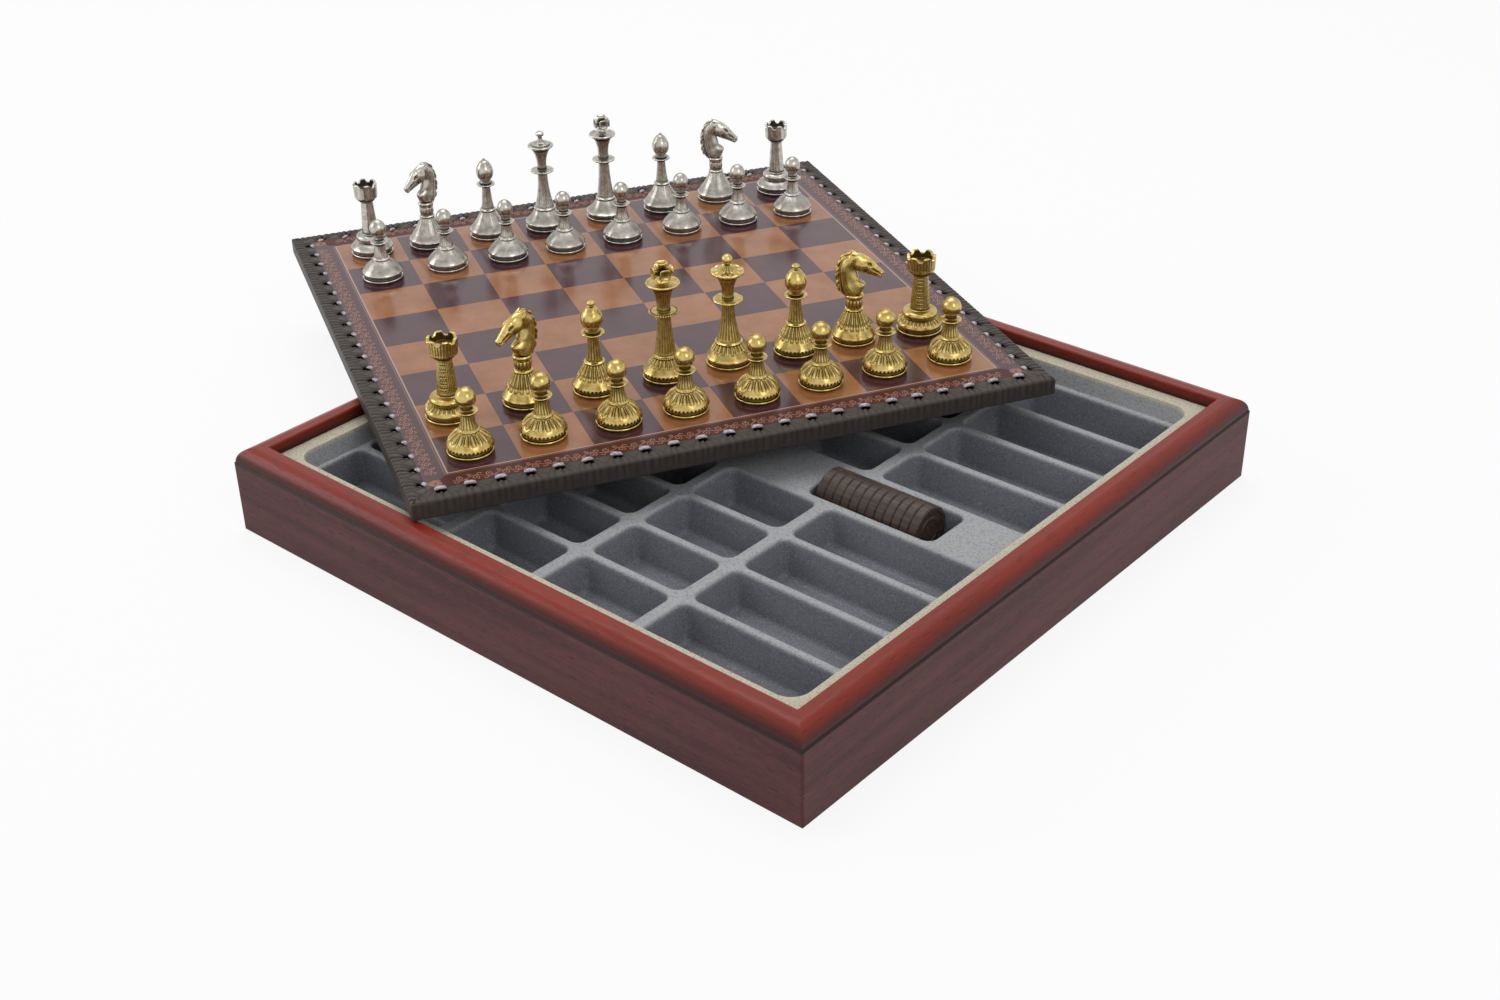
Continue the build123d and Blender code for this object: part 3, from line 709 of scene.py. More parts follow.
@dataclass(frozen=True)
class RoughStock(Finish):
    """Unfinished hidden stock: ply, fibreboard or felt.

    To the eye: a matt mottled surface, seen only from below or with the board taken apart.
    """

    tone: str = "8A6A4A"
    mottle: str = "6E5238"
    scale_mm: float = 3.0

    def build(self) -> bpy.types.Material:
        """Builds the stock with mottled colour and a matt bump."""
        material, tree = self.bench()
        spots, colour = self.mottled(tree, (1000 / self.scale_mm,) * 3, {"Detail": 5.0, "Roughness": 0.7},
                                     (0.35, 0.65), (self.mottle, self.tone))
        nap = add_node(tree, "ShaderNodeBump",
                       {"Height": spots, "Strength": 0.3, "Distance": 0.0003}).outputs[0]
        self.shade(tree, {"Base Color": colour, "Roughness": 0.8, "Normal": nap})
        return material


def dress(node: str, material: bpy.types.Material) -> None:
    """Puts one material on every slot of a CAD node's object."""
    mesh = frame["nodes"][node].data
    mesh.materials.clear()
    mesh.materials.append(material)


# ---------------------------------------------------------------- surfaces


@dataclass
class Skin:
    """A mesh in the making: vertices in millimetres, quads, triangles and one number at each vertex."""

    vertices: np.ndarray
    quads: np.ndarray
    triangles: np.ndarray
    tone: np.ndarray

    def moved(self, move: Callable[[np.ndarray], np.ndarray]) -> "Skin":
        """The same skin with its vertices passed through a function."""
        return Skin(move(self.vertices), self.quads, self.triangles, self.tone)


def tube_skin(grid: np.ndarray, tone: np.ndarray | None = None) -> Skin:
    """Closes a grid of rings into a tube with a point at each end.

    Args:
        grid: positions, rings by places round the ring by 3; each ring's ends meet.
        tone: a number at each grid point, or none for zeros.

    Returns:
        The closed skin: quads between rings, and a fan to each end's middle.
    """
    rings, around = grid.shape[:2]
    if tone is None:
        tone = np.zeros((rings, around))
    body = grid.reshape(-1, 3)
    ends = np.stack([grid[0].mean(axis=0), grid[-1].mean(axis=0)])
    vertices = np.vstack([body, ends])
    index = np.arange(rings * around).reshape(rings, around)
    after = np.roll(index, -1, axis=1)
    quads = np.stack([index[:-1], after[:-1], after[1:], index[1:]], axis=-1).reshape(-1, 4)
    first = np.stack([after[0], index[0], np.full(around, len(body))], axis=-1)
    last = np.stack([index[-1], after[-1], np.full(around, len(body) + 1)], axis=-1)
    tones = np.concatenate([tone.ravel(), [tone[0].mean(), tone[-1].mean()]])
    return Skin(vertices, quads, np.vstack([first, last]), tones)


def sheet_skin(grid: np.ndarray, tone: np.ndarray | None = None) -> Skin:
    """An open sheet over a grid of positions, rows by columns by 3."""
    rows, columns = grid.shape[:2]
    if tone is None:
        tone = np.zeros((rows, columns))
    index = np.arange(rows * columns).reshape(rows, columns)
    corners = [index[:-1, :-1], index[:-1, 1:], index[1:, 1:], index[1:, :-1]]
    quads = np.stack(corners, axis=-1).reshape(-1, 4)
    return Skin(grid.reshape(-1, 3), quads, np.zeros((0, 3), int), tone.ravel())


def joined(skins: Iterable[Skin]) -> Skin:
    """Several skins as one."""
    skins = list(skins)
    starts = np.cumsum([0] + [len(skin.vertices) for skin in skins[:-1]])
    return Skin(
        np.vstack([skin.vertices for skin in skins]),
        np.vstack([skin.quads + start for skin, start in zip(skins, starts)]),
        np.vstack([skin.triangles + start for skin, start in zip(skins, starts)]),
        np.concatenate([skin.tone for skin in skins]),
    )


def make_piece(name: str, skin: Skin, material: bpy.types.Material, body: str, replaces: Sequence[str] = (),
               slot: str | None = None, tone_name: str = "recess") -> bpy.types.Object:
    """Makes a skin into an object at the origin, smooth shaded, riding on a body.

    Args:
        name: the piece's name.
        skin: its surface, in millimetres.
        material: its finish.
        body: the body that it rides on.
        replaces: the CAD nodes that it stands for.
        slot: the record's material slot.
        tone_name: the attribute that the skin's numbers are kept under.

    Returns:
        The new object.
    """
    mesh = bpy.data.meshes.new(name)
    mesh.vertices.add(len(skin.vertices))
    mesh.vertices.foreach_set("co", (skin.vertices * MM).astype(np.float32).ravel())
    corners = np.concatenate([skin.quads.ravel(), skin.triangles.ravel()]).astype(np.int32)
    starts = np.concatenate([np.arange(len(skin.quads)) * 4,
                             len(skin.quads) * 4 + np.arange(len(skin.triangles)) * 3]).astype(np.int32)
    mesh.loops.add(len(corners))
    mesh.loops.foreach_set("vertex_index", corners)
    mesh.polygons.add(len(starts))
    mesh.polygons.foreach_set("loop_start", starts)
    mesh.polygons.foreach_set("use_smooth", np.ones(len(starts), dtype=bool))
    mesh.update(calc_edges=True)
    mesh.validate()
    attribute = mesh.attributes.new(tone_name, "FLOAT", "POINT")
    attribute.data.foreach_set("value", skin.tone.astype(np.float32))
    mesh.materials.append(material)
    piece = bpy.data.objects.new(name, mesh)
    bpy.context.scene.collection.objects.link(piece)
    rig.ride(piece, body)
    if replaces:
        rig.replaces(piece, *replaces)
    if slot:
        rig.slot(piece, slot)
    return piece


def smooth_step(value: np.ndarray, low: float, high: float) -> np.ndarray:
    """Rises smoothly from 0 at low to 1 at high, as 3t^2 - 2t^3."""
    t = np.clip((value - low) / (high - low), 0, 1)
    return t * t * (3 - 2 * t)


def spline_through(points: Sequence[Sequence[float]], places: np.ndarray) -> np.ndarray:
    """A smooth curve through points: cubics whose slope at a point is half of the step across it.

    Args:
        points: the points, each of any number of values.
        places: where to read the curve, 0 at the first point and 1 at the last.

    Returns:
        The values at the places, one row each.
    """
    knots = np.asarray(points, float)
    padded = np.vstack([2 * knots[0] - knots[1], knots, 2 * knots[-1] - knots[-2]])
    at = np.clip(places, 0, 1) * (len(knots) - 1)
    run = np.minimum(at.astype(int), len(knots) - 2)
    t = (at - run)[:, None]
    a, b, c, d = (padded[run + shift] for shift in range(4))
    return 0.5 * (2 * b + (c - a) * t + (2 * a - 5 * b + 4 * c - d) * t ** 2
                  + (3 * b - a - 3 * c + d) * t ** 3)


# ---------------------------------------------------------------- men

Stop = tuple[float, ...]
Pattern = tuple[np.ndarray, np.ndarray]


@dataclass(frozen=True)
class Band:
    """One band of cast relief round a man: so many repeats between two heights.

    Each pattern is a function of the way across one repeat, 0 in its middle and 1 at its edge, of the
    way up the band, 0 to 1, and of the angle. It gives how far the surface moves out, in depths, and
    how dark its recess is.

    Attributes:
        kind: the pattern.
        low: height of its foot.
        high: height of its top.
        count: repeats round the man.
        depth: its depth in millimetres.
    """

    kind: Relief
    low: float
    high: float
    count: int
    depth: float

    def depths(self, angle: np.ndarray, height: np.ndarray) -> tuple[np.ndarray, np.ndarray]:
        """Works out the relief of the band.

        Args:
            angle: angle round the man at each point of the grid.
            height: height of each point.

        Returns:
            How far each point moves out in millimetres, and its darkness from 0 to 1.
        """
        up = (height - self.low) / (self.high - self.low)
        turns = self.count * angle / (2 * math.pi)
        across = np.abs(turns - np.round(turns)) * 2
        patterns = {Relief.TONGUES: self.tongues, Relief.FLUTES: self.flutes, Relief.BEADS: self.beads,
                    Relief.MASONRY: self.masonry, Relief.LOBES: self.lobes}
        out, dark = patterns[self.kind](across, up, angle)
        within = (up > 0) & (up < 1)
        return self.depth * out * within, dark * within * min(1.0, self.depth / 0.2)

    def tongues(self, across: np.ndarray, up: np.ndarray, angle: np.ndarray) -> Pattern:
        """Slim tongues that end below in a drop.

        Each is a Gaussian ridge between two Gaussian grooves, over a half ball with a dark halo.
        """
        stem = smooth_step(up, 0.16, 0.26) * smooth_step(up, 1.0, 0.96)
        away = np.hypot(across / 0.44, (up - 0.13) / 0.12)
        drop = np.sqrt(np.clip(1 - away ** 2, 0, 1))
        halo = np.exp(-((away - 1.3) / 0.3) ** 2) * (up < 0.3)
        groove = np.exp(-((across - 0.66) / 0.26) ** 2) * stem
        ridge = np.exp(-(across / 0.3) ** 2) * stem
        out = 0.5 * np.maximum(ridge, drop) - np.maximum(groove, 0.7 * halo)
        return out, np.maximum(groove, 0.9 * halo)

    def flutes(self, across: np.ndarray, up: np.ndarray, angle: np.ndarray) -> Pattern:
        """Narrow channels between flat ribs: a raised cosine, squared, that fades out at both ends."""
        ends = smooth_step(up, 0, 0.08) * smooth_step(up, 1, 0.94)
        cut = (0.5 + 0.5 * np.cos(math.pi * across)) ** 2 * ends
        return -cut, 0.8 * cut

    def beads(self, across: np.ndarray, up: np.ndarray, angle: np.ndarray) -> Pattern:
        """A row of half balls with dark gaps."""
        ball = np.sqrt(np.clip(1 - (across / 0.8) ** 2 - (2 * up - 1) ** 2, 0, 1))
        return ball - 0.3, np.clip(1.0 - 1.9 * ball, 0, 1)

    def masonry(self, across: np.ndarray, up: np.ndarray, angle: np.ndarray) -> Pattern:
        """Four strips of coursed blocks between four ribbed ones, every second course half a block on."""
        courses = 15
        level = np.clip(up, 0, 0.999) * courses
        joint = np.abs(level - np.round(level)) * 2
        upright = np.abs(across - np.floor(level) % 2)
        blocks = np.maximum(1 - smooth_step(joint, 0.1, 0.5), 1 - smooth_step(upright, 0.06, 0.3))
        ribs = (0.5 + 0.5 * np.cos(5 * self.count * angle / 4)) ** 2
        strip = smooth_step(np.cos(4 * angle + 2.2), -0.15, 0.15)
        cut = strip * blocks + (1 - strip) * ribs
        return -cut, 0.75 * cut

    def lobes(self, across: np.ndarray, up: np.ndarray, angle: np.ndarray) -> Pattern:
        """A scalloped rim: a cosine round the edge."""
        return 0.5 + 0.5 * np.cos(math.pi * across), 0 * across


@dataclass(frozen=True)
class Battlement:
    """The rook's crown: round notches let down into its upper edge.

    Attributes:
        top: height of the crown.
        depth: how deep each notch is.
        half: half width of a notch, in millimetres.
        radius: where the width is measured.
        count: how many notches there are.
    """

    top: float = 43.0
    depth: float = 2.1
    half: float = 1.75
    radius: float = 6.8
    count: int = 6

    def cut(self, angle: np.ndarray, height: np.ndarray) -> np.ndarray:
        """Lowers what stands above the edge, which dips by the depth times exp(-(x / half)^4) at a notch.

        Args:
            angle: angle round the man at each point of the grid.
            height: height of each point.

        Returns:
            The lowered heights.
        """
        turns = self.count * angle / (2 * math.pi)
        from_middle = np.abs(turns - np.round(turns)) * 2 * math.pi / self.count * self.radius
        return np.minimum(height, self.top - self.depth * np.exp(-(from_middle / self.half) ** 4))


@dataclass
class TurnedBody:
    """A lathe form: stops as radius and height, or an arc through a point to a point, with relief bands.

    Attributes:
        stops: the outline from the foot's edge to the axis on top.
        bands: the relief.
        girth: factor on the radii above the foot.
        around: places round each ring.
        step: spacing along the outline, in millimetres.
        foot_height: stops below it keep their radius.
        edge_ease: how close to a corner its nearest points stand.
        battlement: the notches of a rook's crown.
    """

    stops: Sequence[Stop]
    bands: Sequence[Band] = ()
    girth: float = 1.0
    around: int = 180
    step: float = 0.46
    foot_height: float = 4.7
    edge_ease: float = 0.12
    battlement: Battlement | None = None

    def outline(self) -> np.ndarray:
        """Samples the outline in even steps, with a close point beside each corner to keep it crisp."""
        at = (0.0, 0.0)
        runs = []
        for stop in self.stops:
            scaled = [value if place % 2 or stop[-1] < self.foot_height else value * self.girth
                      for place, value in enumerate(stop)]
            end = (scaled[-2], scaled[-1])
            if len(stop) == 2:
                length = math.dist(at, end)
                ease = min(self.edge_ease, length / 3) / max(length, 1e-6)
                count = max(2, int(length / self.step))
                t = np.concatenate([[0], np.linspace(ease, 1 - ease, count)])[:, None]
                runs.append(np.array(at) + t * (np.array(end) - np.array(at)))
            else:
                runs.append(self.arc(at, (scaled[0], scaled[1]), end))
            at = end
        return np.vstack(runs + [np.array([at])])

    def arc(self, start: Sequence[float], middle: Sequence[float], end: Sequence[float]) -> np.ndarray:
        """Points on the circle through three points, from the first up to but without the last."""
        (ax, ay), (bx, by), (cx, cy) = start, middle, end
        twice = 2 * (ax * (by - cy) + bx * (cy - ay) + cx * (ay - by))
        a, b, c = ax ** 2 + ay ** 2, bx ** 2 + by ** 2, cx ** 2 + cy ** 2
        ux = (a * (by - cy) + b * (cy - ay) + c * (ay - by)) / twice
        uy = (a * (cx - bx) + b * (ax - cx) + c * (bx - ax)) / twice
        radius = math.hypot(ax - ux, ay - uy)
        angles = np.unwrap([math.atan2(y - uy, x - ux) for x, y in (start, middle, end)])
        count = max(5, int(abs(angles[2] - angles[0]) * radius / self.step))
        sweep = np.linspace(angles[0], angles[2], count + 1)[:-1]
        return np.stack([ux + radius * np.cos(sweep), uy + radius * np.sin(sweep)], axis=1)

    def skin(self) -> Skin:
        """Turns the outline round the axis, each point moved along the outline's normal by the relief."""
        line = self.outline()
        keep = np.concatenate([[True], np.linalg.norm(np.diff(line, axis=0), axis=1) > 1e-4])
        line = line[keep][1:-1]
        along = np.gradient(line, axis=0)
        normal = np.stack([along[:, 1], -along[:, 0]], axis=1)
        normal /= np.linalg.norm(normal, axis=1)[:, None]
        angle = np.linspace(0, 2 * math.pi, self.around, endpoint=False)
        height = np.repeat(line[:, 1:2], self.around, axis=1)
        turned = np.repeat(angle[None, :], len(line), axis=0)
        out = np.zeros_like(height)
        # Patina and painted shade: the turned grooves and the undersides of rings are darkened.
        dark = np.repeat(self.patina_and_underside_shade(line, normal)[:, None], self.around, axis=1)
        for band in self.bands:
            moved, recess = band.depths(turned, height)
            out += moved
            dark = np.maximum(dark, recess)
        radius = line[:, :1] + normal[:, :1] * out
        height = height + normal[:, 1:] * out
        if self.battlement:
            height = self.battlement.cut(turned, height)
        grid = np.stack([radius * np.cos(turned), radius * np.sin(turned), height], axis=-1)
        return tube_skin(grid, dark)

    def patina_and_underside_shade(self, line: np.ndarray, normal: np.ndarray) -> np.ndarray:
        """Darkness of the turned grooves.

        It is how far each point lies inside the widest radius within 1.5 mm of its height: patina in
        the hollows, and painted shade under the rings. Faces that look up keep a quarter of it, which is
        painted light on them.
        """
        near = np.abs(line[:, 1][:, None] - line[:, 1][None, :]) < 1.5
        widest = np.where(near, line[:, 0][None, :], 0).max(axis=1)
        under = np.clip((widest - line[:, 0] - 0.35) / 1.1, 0, 1)
        return 0.95 * under * (1 - 0.75 * np.clip(normal[:, 1], 0, 1))


def foot_stops(radius: float) -> list[Stop]:
    """The foot that every man has: a sunk base, a thin bright ring, a deep groove and the dome's lip."""
    return [(radius - 1.0, 0), (radius - 0.7, 0.25), (radius - 0.6, 0.7), (radius - 0.25, 0.9),
            (radius - 0.02, 1.35, radius - 0.35, 1.85), (radius - 1.5, 2.0), (radius - 1.7, 3.1),
            (radius - 0.7, 3.3), (radius - 0.15, 3.8), (radius, 4.6)]


def ring_stops(radius: float, height: float, thickness: float, neck: float) -> list[Stop]:
    """A proud ring round the stem, from its underside to the neck above it."""
    mid = height + thickness / 2
    return [(radius - 0.3, height), (radius, mid, radius - 0.3, height + thickness),
            (neck, height + thickness + 0.35)]


def cross_arm(reach: float, flare: float) -> Skin:
    """One arm of the king's cross along +X, its rounded square section flaring outwards, its end dished.

    The half size is 1.1 mm plus the rest of flare times t^1.6, t being the way out, and each ring is the
    superellipse |y|^4 + |z|^4 = size^4.
    """
    t = np.linspace(0, 1, 10)
    size = 1.1 + (flare - 1.1) * t ** 1.6
    lip = np.array([1.0, 0.94, 0.78, 0.55, 0.3, 0.08])
    sizes = np.concatenate([size, flare * lip])
    dish = np.array([0.2, 0.33, 0.2, -0.35, -0.6, -0.65])
    out = np.concatenate([t * (reach - 0.35), reach - 0.35 + dish])
    tone = np.concatenate([0.95 * (1 - smooth_step(t, 0.35, 0.9)), [0.0, 0.0, 0.15, 0.6, 0.75, 0.8]])
    angle = np.linspace(0, 2 * math.pi, 24, endpoint=False)
    cos, sin = np.cos(angle), np.sin(angle)
    y = sizes[:, None] * (np.sign(cos) * np.sqrt(np.abs(cos)))[None, :]
    z = sizes[:, None] * (np.sign(sin) * np.sqrt(np.abs(sin)))[None, :]
    x = np.repeat(out[:, None], 24, axis=1)
    return tube_skin(np.stack([x, y, z], axis=-1), np.repeat(tone[:, None], 24, axis=1))


def turned_by(skin: Skin, matrix: Matrix) -> Skin:
    """A skin moved by a 4 by 4 matrix."""
    whole = np.array(matrix)
    return skin.moved(lambda v: v @ whole[:3, :3].T + whole[:3, 3])


def horse_tube(stations: Sequence[Sequence[float]], shape: Callable[[np.ndarray, np.ndarray], tuple],
               rings: int = 60, around: int = 56) -> Skin:
    """A horse's neck or head: ellipse sections square to a curved spine in the XZ plane.

    Args:
        stations: x, z, half height and half width of the section, from one end to the other.
        shape: gives how far out to move, and the darkness, from the way along (0 to 1) and the angle
            round (0 on top, pi underneath).
        rings: sections along the spine.
        around: places round each section.

    Returns:
        The closed skin, its ends drawn in by a quarter circle.
    """
    t = np.linspace(0, 1, rings)
    x, z, high, wide = spline_through(stations, t).T
    dx, dz = np.gradient(x), np.gradient(z)
    length = np.hypot(dx, dz)
    up_x, up_z = -dz / length, dx / length
    ease = np.sqrt(np.clip(1 - (1 - np.minimum(t / 0.06, (1 - t) / 0.05).clip(0, 1)) ** 2, 0.03, 1))
    high, wide = high * ease, wide * ease
    angle = np.linspace(0, 2 * math.pi, around, endpoint=False)
    along = np.repeat(t[:, None], around, axis=1)
    round_ = np.repeat(angle[None, :], rings, axis=0)
    out, dark = shape(along, round_)
    cos, sin = np.cos(round_), np.sin(round_)
    tall = (high[:, None] + out * ease[:, None]) * cos
    side = (wide[:, None] + out * ease[:, None]) * sin
    grid = np.stack([x[:, None] + up_x[:, None] * tall, side, z[:, None] + up_z[:, None] * tall], axis=-1)
    return tube_skin(grid, dark)


def beside(angle: np.ndarray) -> np.ndarray:
    """How far round from the top an angle lies, the same on both sides."""
    return np.abs((angle + math.pi) % (2 * math.pi) - math.pi)


def bump(along: np.ndarray, angle: np.ndarray, place: float, turn: float, length: float,
         spread: float) -> np.ndarray:
    """A soft bump on both sides of a tube: a Gaussian about a place along it and an angle round it."""
    return np.exp(-((along - place) / length) ** 2 - ((beside(angle) - turn) / spread) ** 2)


HEAD_FEATURES = {
    # The carved face: place along, angle round, length, spread, how far out in mm, how dark.
    "cheek": (0.36, 2.05, 0.14, 0.62, 0.8, 0.0),
    "jaw": (0.2, 2.0, 0.035, 0.8, -0.5, 0.7),
    "cheek line": (0.54, 2.2, 0.04, 0.5, -0.5, 0.85),
    "brow": (0.5, 0.78, 0.07, 0.2, 0.85, 0.0),
    "eye socket": (0.55, 1.12, 0.045, 0.17, -0.95, 1.1),
    "eyeball": (0.552, 1.14, 0.018, 0.09, 0.9, -0.8),
    "nose ridge": (0.75, 1.0, 0.14, 0.16, 0.35, 0.0),
    "nose furrow": (0.72, 1.45, 0.12, 0.14, -0.35, 0.6),
    "nostril rim": (0.93, 1.05, 0.035, 0.34, 0.5, 0.0),
    "nostril": (0.94, 1.1, 0.018, 0.18, -0.9, 1.1),
}
MANE_LOCKS = (
    # The comb of locks down the neck: start x and z, end x and z, size.
    (1.4, 49.0, -2.0, 49.7, 0.8), (-1.4, 49.4, -5.0, 48.4, 0.95), (-3.8, 48.6, -7.4, 45.6, 1.05),
    (-5.8, 46.4, -8.7, 42.0, 1.1), (-7.0, 43.2, -9.2, 38.4, 1.15), (-7.4, 39.8, -9.4, 34.9, 1.15),
    (-7.4, 36.2, -8.8, 31.5, 1.1), (-7.2, 32.8, -7.6, 28.4, 1.0),
)


@dataclass
class HorseHead:
    """The knight's neck, head, ears and mane above the ring at 26 mm, facing +X."""

    girth: float = 1.0

    def neck(self) -> Skin:
        """The arched neck, with a muscle line down each side and a knob of a breast at the front."""
        def shape(along: np.ndarray, angle: np.ndarray) -> tuple[np.ndarray, np.ndarray]:
            side = beside(angle)
            muscle = np.sin(side * 5 + along * 5) * 0.2 * smooth_step(along, 0.02, 0.2) * (1 - along)
            breast = 1.5 * np.exp(-((along - 0.2) / 0.08) ** 2 - ((side - math.pi) / 0.6) ** 2)
            under = 0.9 * np.exp(-((along - 0.34) / 0.06) ** 2 - ((side - math.pi) / 0.8) ** 2)
            throat = bump(along, angle, 0.66, 2.3, 0.14, 0.5)
            crest = np.exp(-((side - 0.62) / 0.12) ** 2) * smooth_step(along, 0.05, 0.15)
            dark = 0.35 * np.clip(-muscle / 0.12, 0, 1) + 0.45 * throat + 0.5 * under + 0.7 * crest
            return muscle + breast - under - 0.7 * throat - 0.35 * crest, np.clip(dark, 0, 1)

        return horse_tube(((-0.6, 26.2, 4.6, 4.4), (-1.0, 28.4, 5.7, 4.5), (-1.7, 31.0, 6.2, 4.3),
                           (-2.6, 33.8, 5.7, 3.9), (-3.3, 37.0, 5.1, 3.6), (-3.6, 40.2, 4.9, 3.4),
                           (-2.9, 43.2, 4.7, 3.2), (-0.8, 45.4, 4.0, 3.0), (1.6, 45.9, 3.1, 2.7)), shape)

    def head(self) -> Skin:
        """The head: round cheek, brow and eye, a long straight nose, nostril and mouth."""
        def shape(along: np.ndarray, angle: np.ndarray) -> tuple[np.ndarray, np.ndarray]:
            out, dark = np.zeros_like(along), np.zeros_like(along)
            for place, turn, length, spread, rise, shade in HEAD_FEATURES.values():
                form = bump(along, angle, place, turn, length, spread)
                out += rise * form
                dark += shade * form
            side = beside(angle)
            mouth = np.exp(-((side - 2.0) / 0.1) ** 2) * smooth_step(along, 0.76, 0.84)
            lip = np.exp(-((side - 1.8) / 0.16) ** 2) * smooth_step(along, 0.82, 0.92)
            return out - 0.6 * mouth + 0.3 * lip, np.clip(dark + 1.1 * mouth, 0, 1)

        return horse_tube(((-3.8, 47.1, 2.4, 2.3), (-1.0, 46.1, 3.7, 3.0), (1.8, 44.7, 4.4, 3.3),
                           (4.4, 43.1, 4.5, 3.3), (7.2, 41.4, 4.0, 2.9), (10.0, 39.6, 3.1, 2.4),
                           (12.6, 37.9, 2.4, 2.0), (14.7, 36.5, 1.9, 1.7)), shape, rings=100, around=76)

    def lock(self, start: Sequence[float], end: Sequence[float], side: float, size: float) -> Skin:
        """One lock of mane: a flattened horn bowed outwards from start to end, both x and z."""
        t = np.linspace(0, 1, 16)
        start_at, end_at = np.array(start, float), np.array(end, float)
        step = end_at - start_at
        out = np.array([-abs(step[1]), -step[0] * 0.2]) / max(np.hypot(*step), 1e-6)
        path = start_at + t[:, None] * step + (np.sin(t * math.pi) * size * 0.8)[:, None] * out
        thick = size * np.sqrt(np.clip(np.sin(math.pi * (0.12 + 0.88 * t)) * 0.9 + 0.05, 0.01, 1))
        angle = np.linspace(0, 2 * math.pi, 12, endpoint=False)
        tangent = np.gradient(path, axis=0)
        tangent /= np.linalg.norm(tangent, axis=1)[:, None]
        up = np.stack([-tangent[:, 1], tangent[:, 0]], axis=1)
        tall = thick[:, None] * 0.7 * np.cos(angle)[None, :]
        wide = thick[:, None] * 0.6 * np.sin(angle)[None, :]
        grid = np.stack([path[:, :1] + up[:, :1] * tall, side + wide, path[:, 1:] + up[:, 1:] * tall],
                        axis=-1)
        tone = np.repeat((0.8 * (1 - smooth_step(t, 0.0, 0.4)))[:, None], 12, axis=1)
        return tube_skin(grid, tone)

    def ear(self, side: float) -> Skin:
        """A pointed ear laid back: a cone whose ring is dished on its outer side."""
        t = np.linspace(0, 1, 12)
        angle = np.linspace(0, 2 * math.pi, 16, endpoint=False)
        size = 1.1 * np.sqrt(np.clip(np.sin(math.pi * (0.25 + 0.75 * t)), 0.02, 1)) * (1 - 0.35 * t)
        dish = 1 - 0.5 * np.exp(-((angle - math.pi / 2 * (1 if side > 0 else 3)) / 0.5) ** 2)
        x = 0.9 - 3.2 * t[:, None] + size[:, None] * (np.cos(angle) * 0.8)[None, :]
        y = side * (1.7 + 0.5 * t[:, None]) + size[:, None] * (np.sin(angle) * dish)[None, :]
        z = 47.9 + 2.2 * t[:, None] + 0 * angle[None, :]
        tone = np.repeat(((1 - dish) * 1.7)[None, :], len(t), axis=0)
        return tube_skin(np.stack([x, y, z], axis=-1), tone)

    def skins(self) -> list[Skin]:
        """Every surface of the head, thinned by the man's girth."""
        pieces = [self.neck(), self.head(), self.ear(1), self.ear(-1)]
        for number, (x0, z0, x1, z1, size) in enumerate(MANE_LOCKS):
            for side in (-0.75, 0.75):
                drop = 0.9 if (number % 2) == (side > 0) else 0.0
                pieces.append(self.lock((x0, z0 - drop), (x1, z1 - drop), side, size))
        return [piece.moved(lambda v: v * (self.girth, self.girth, 1)) for piece in pieces]


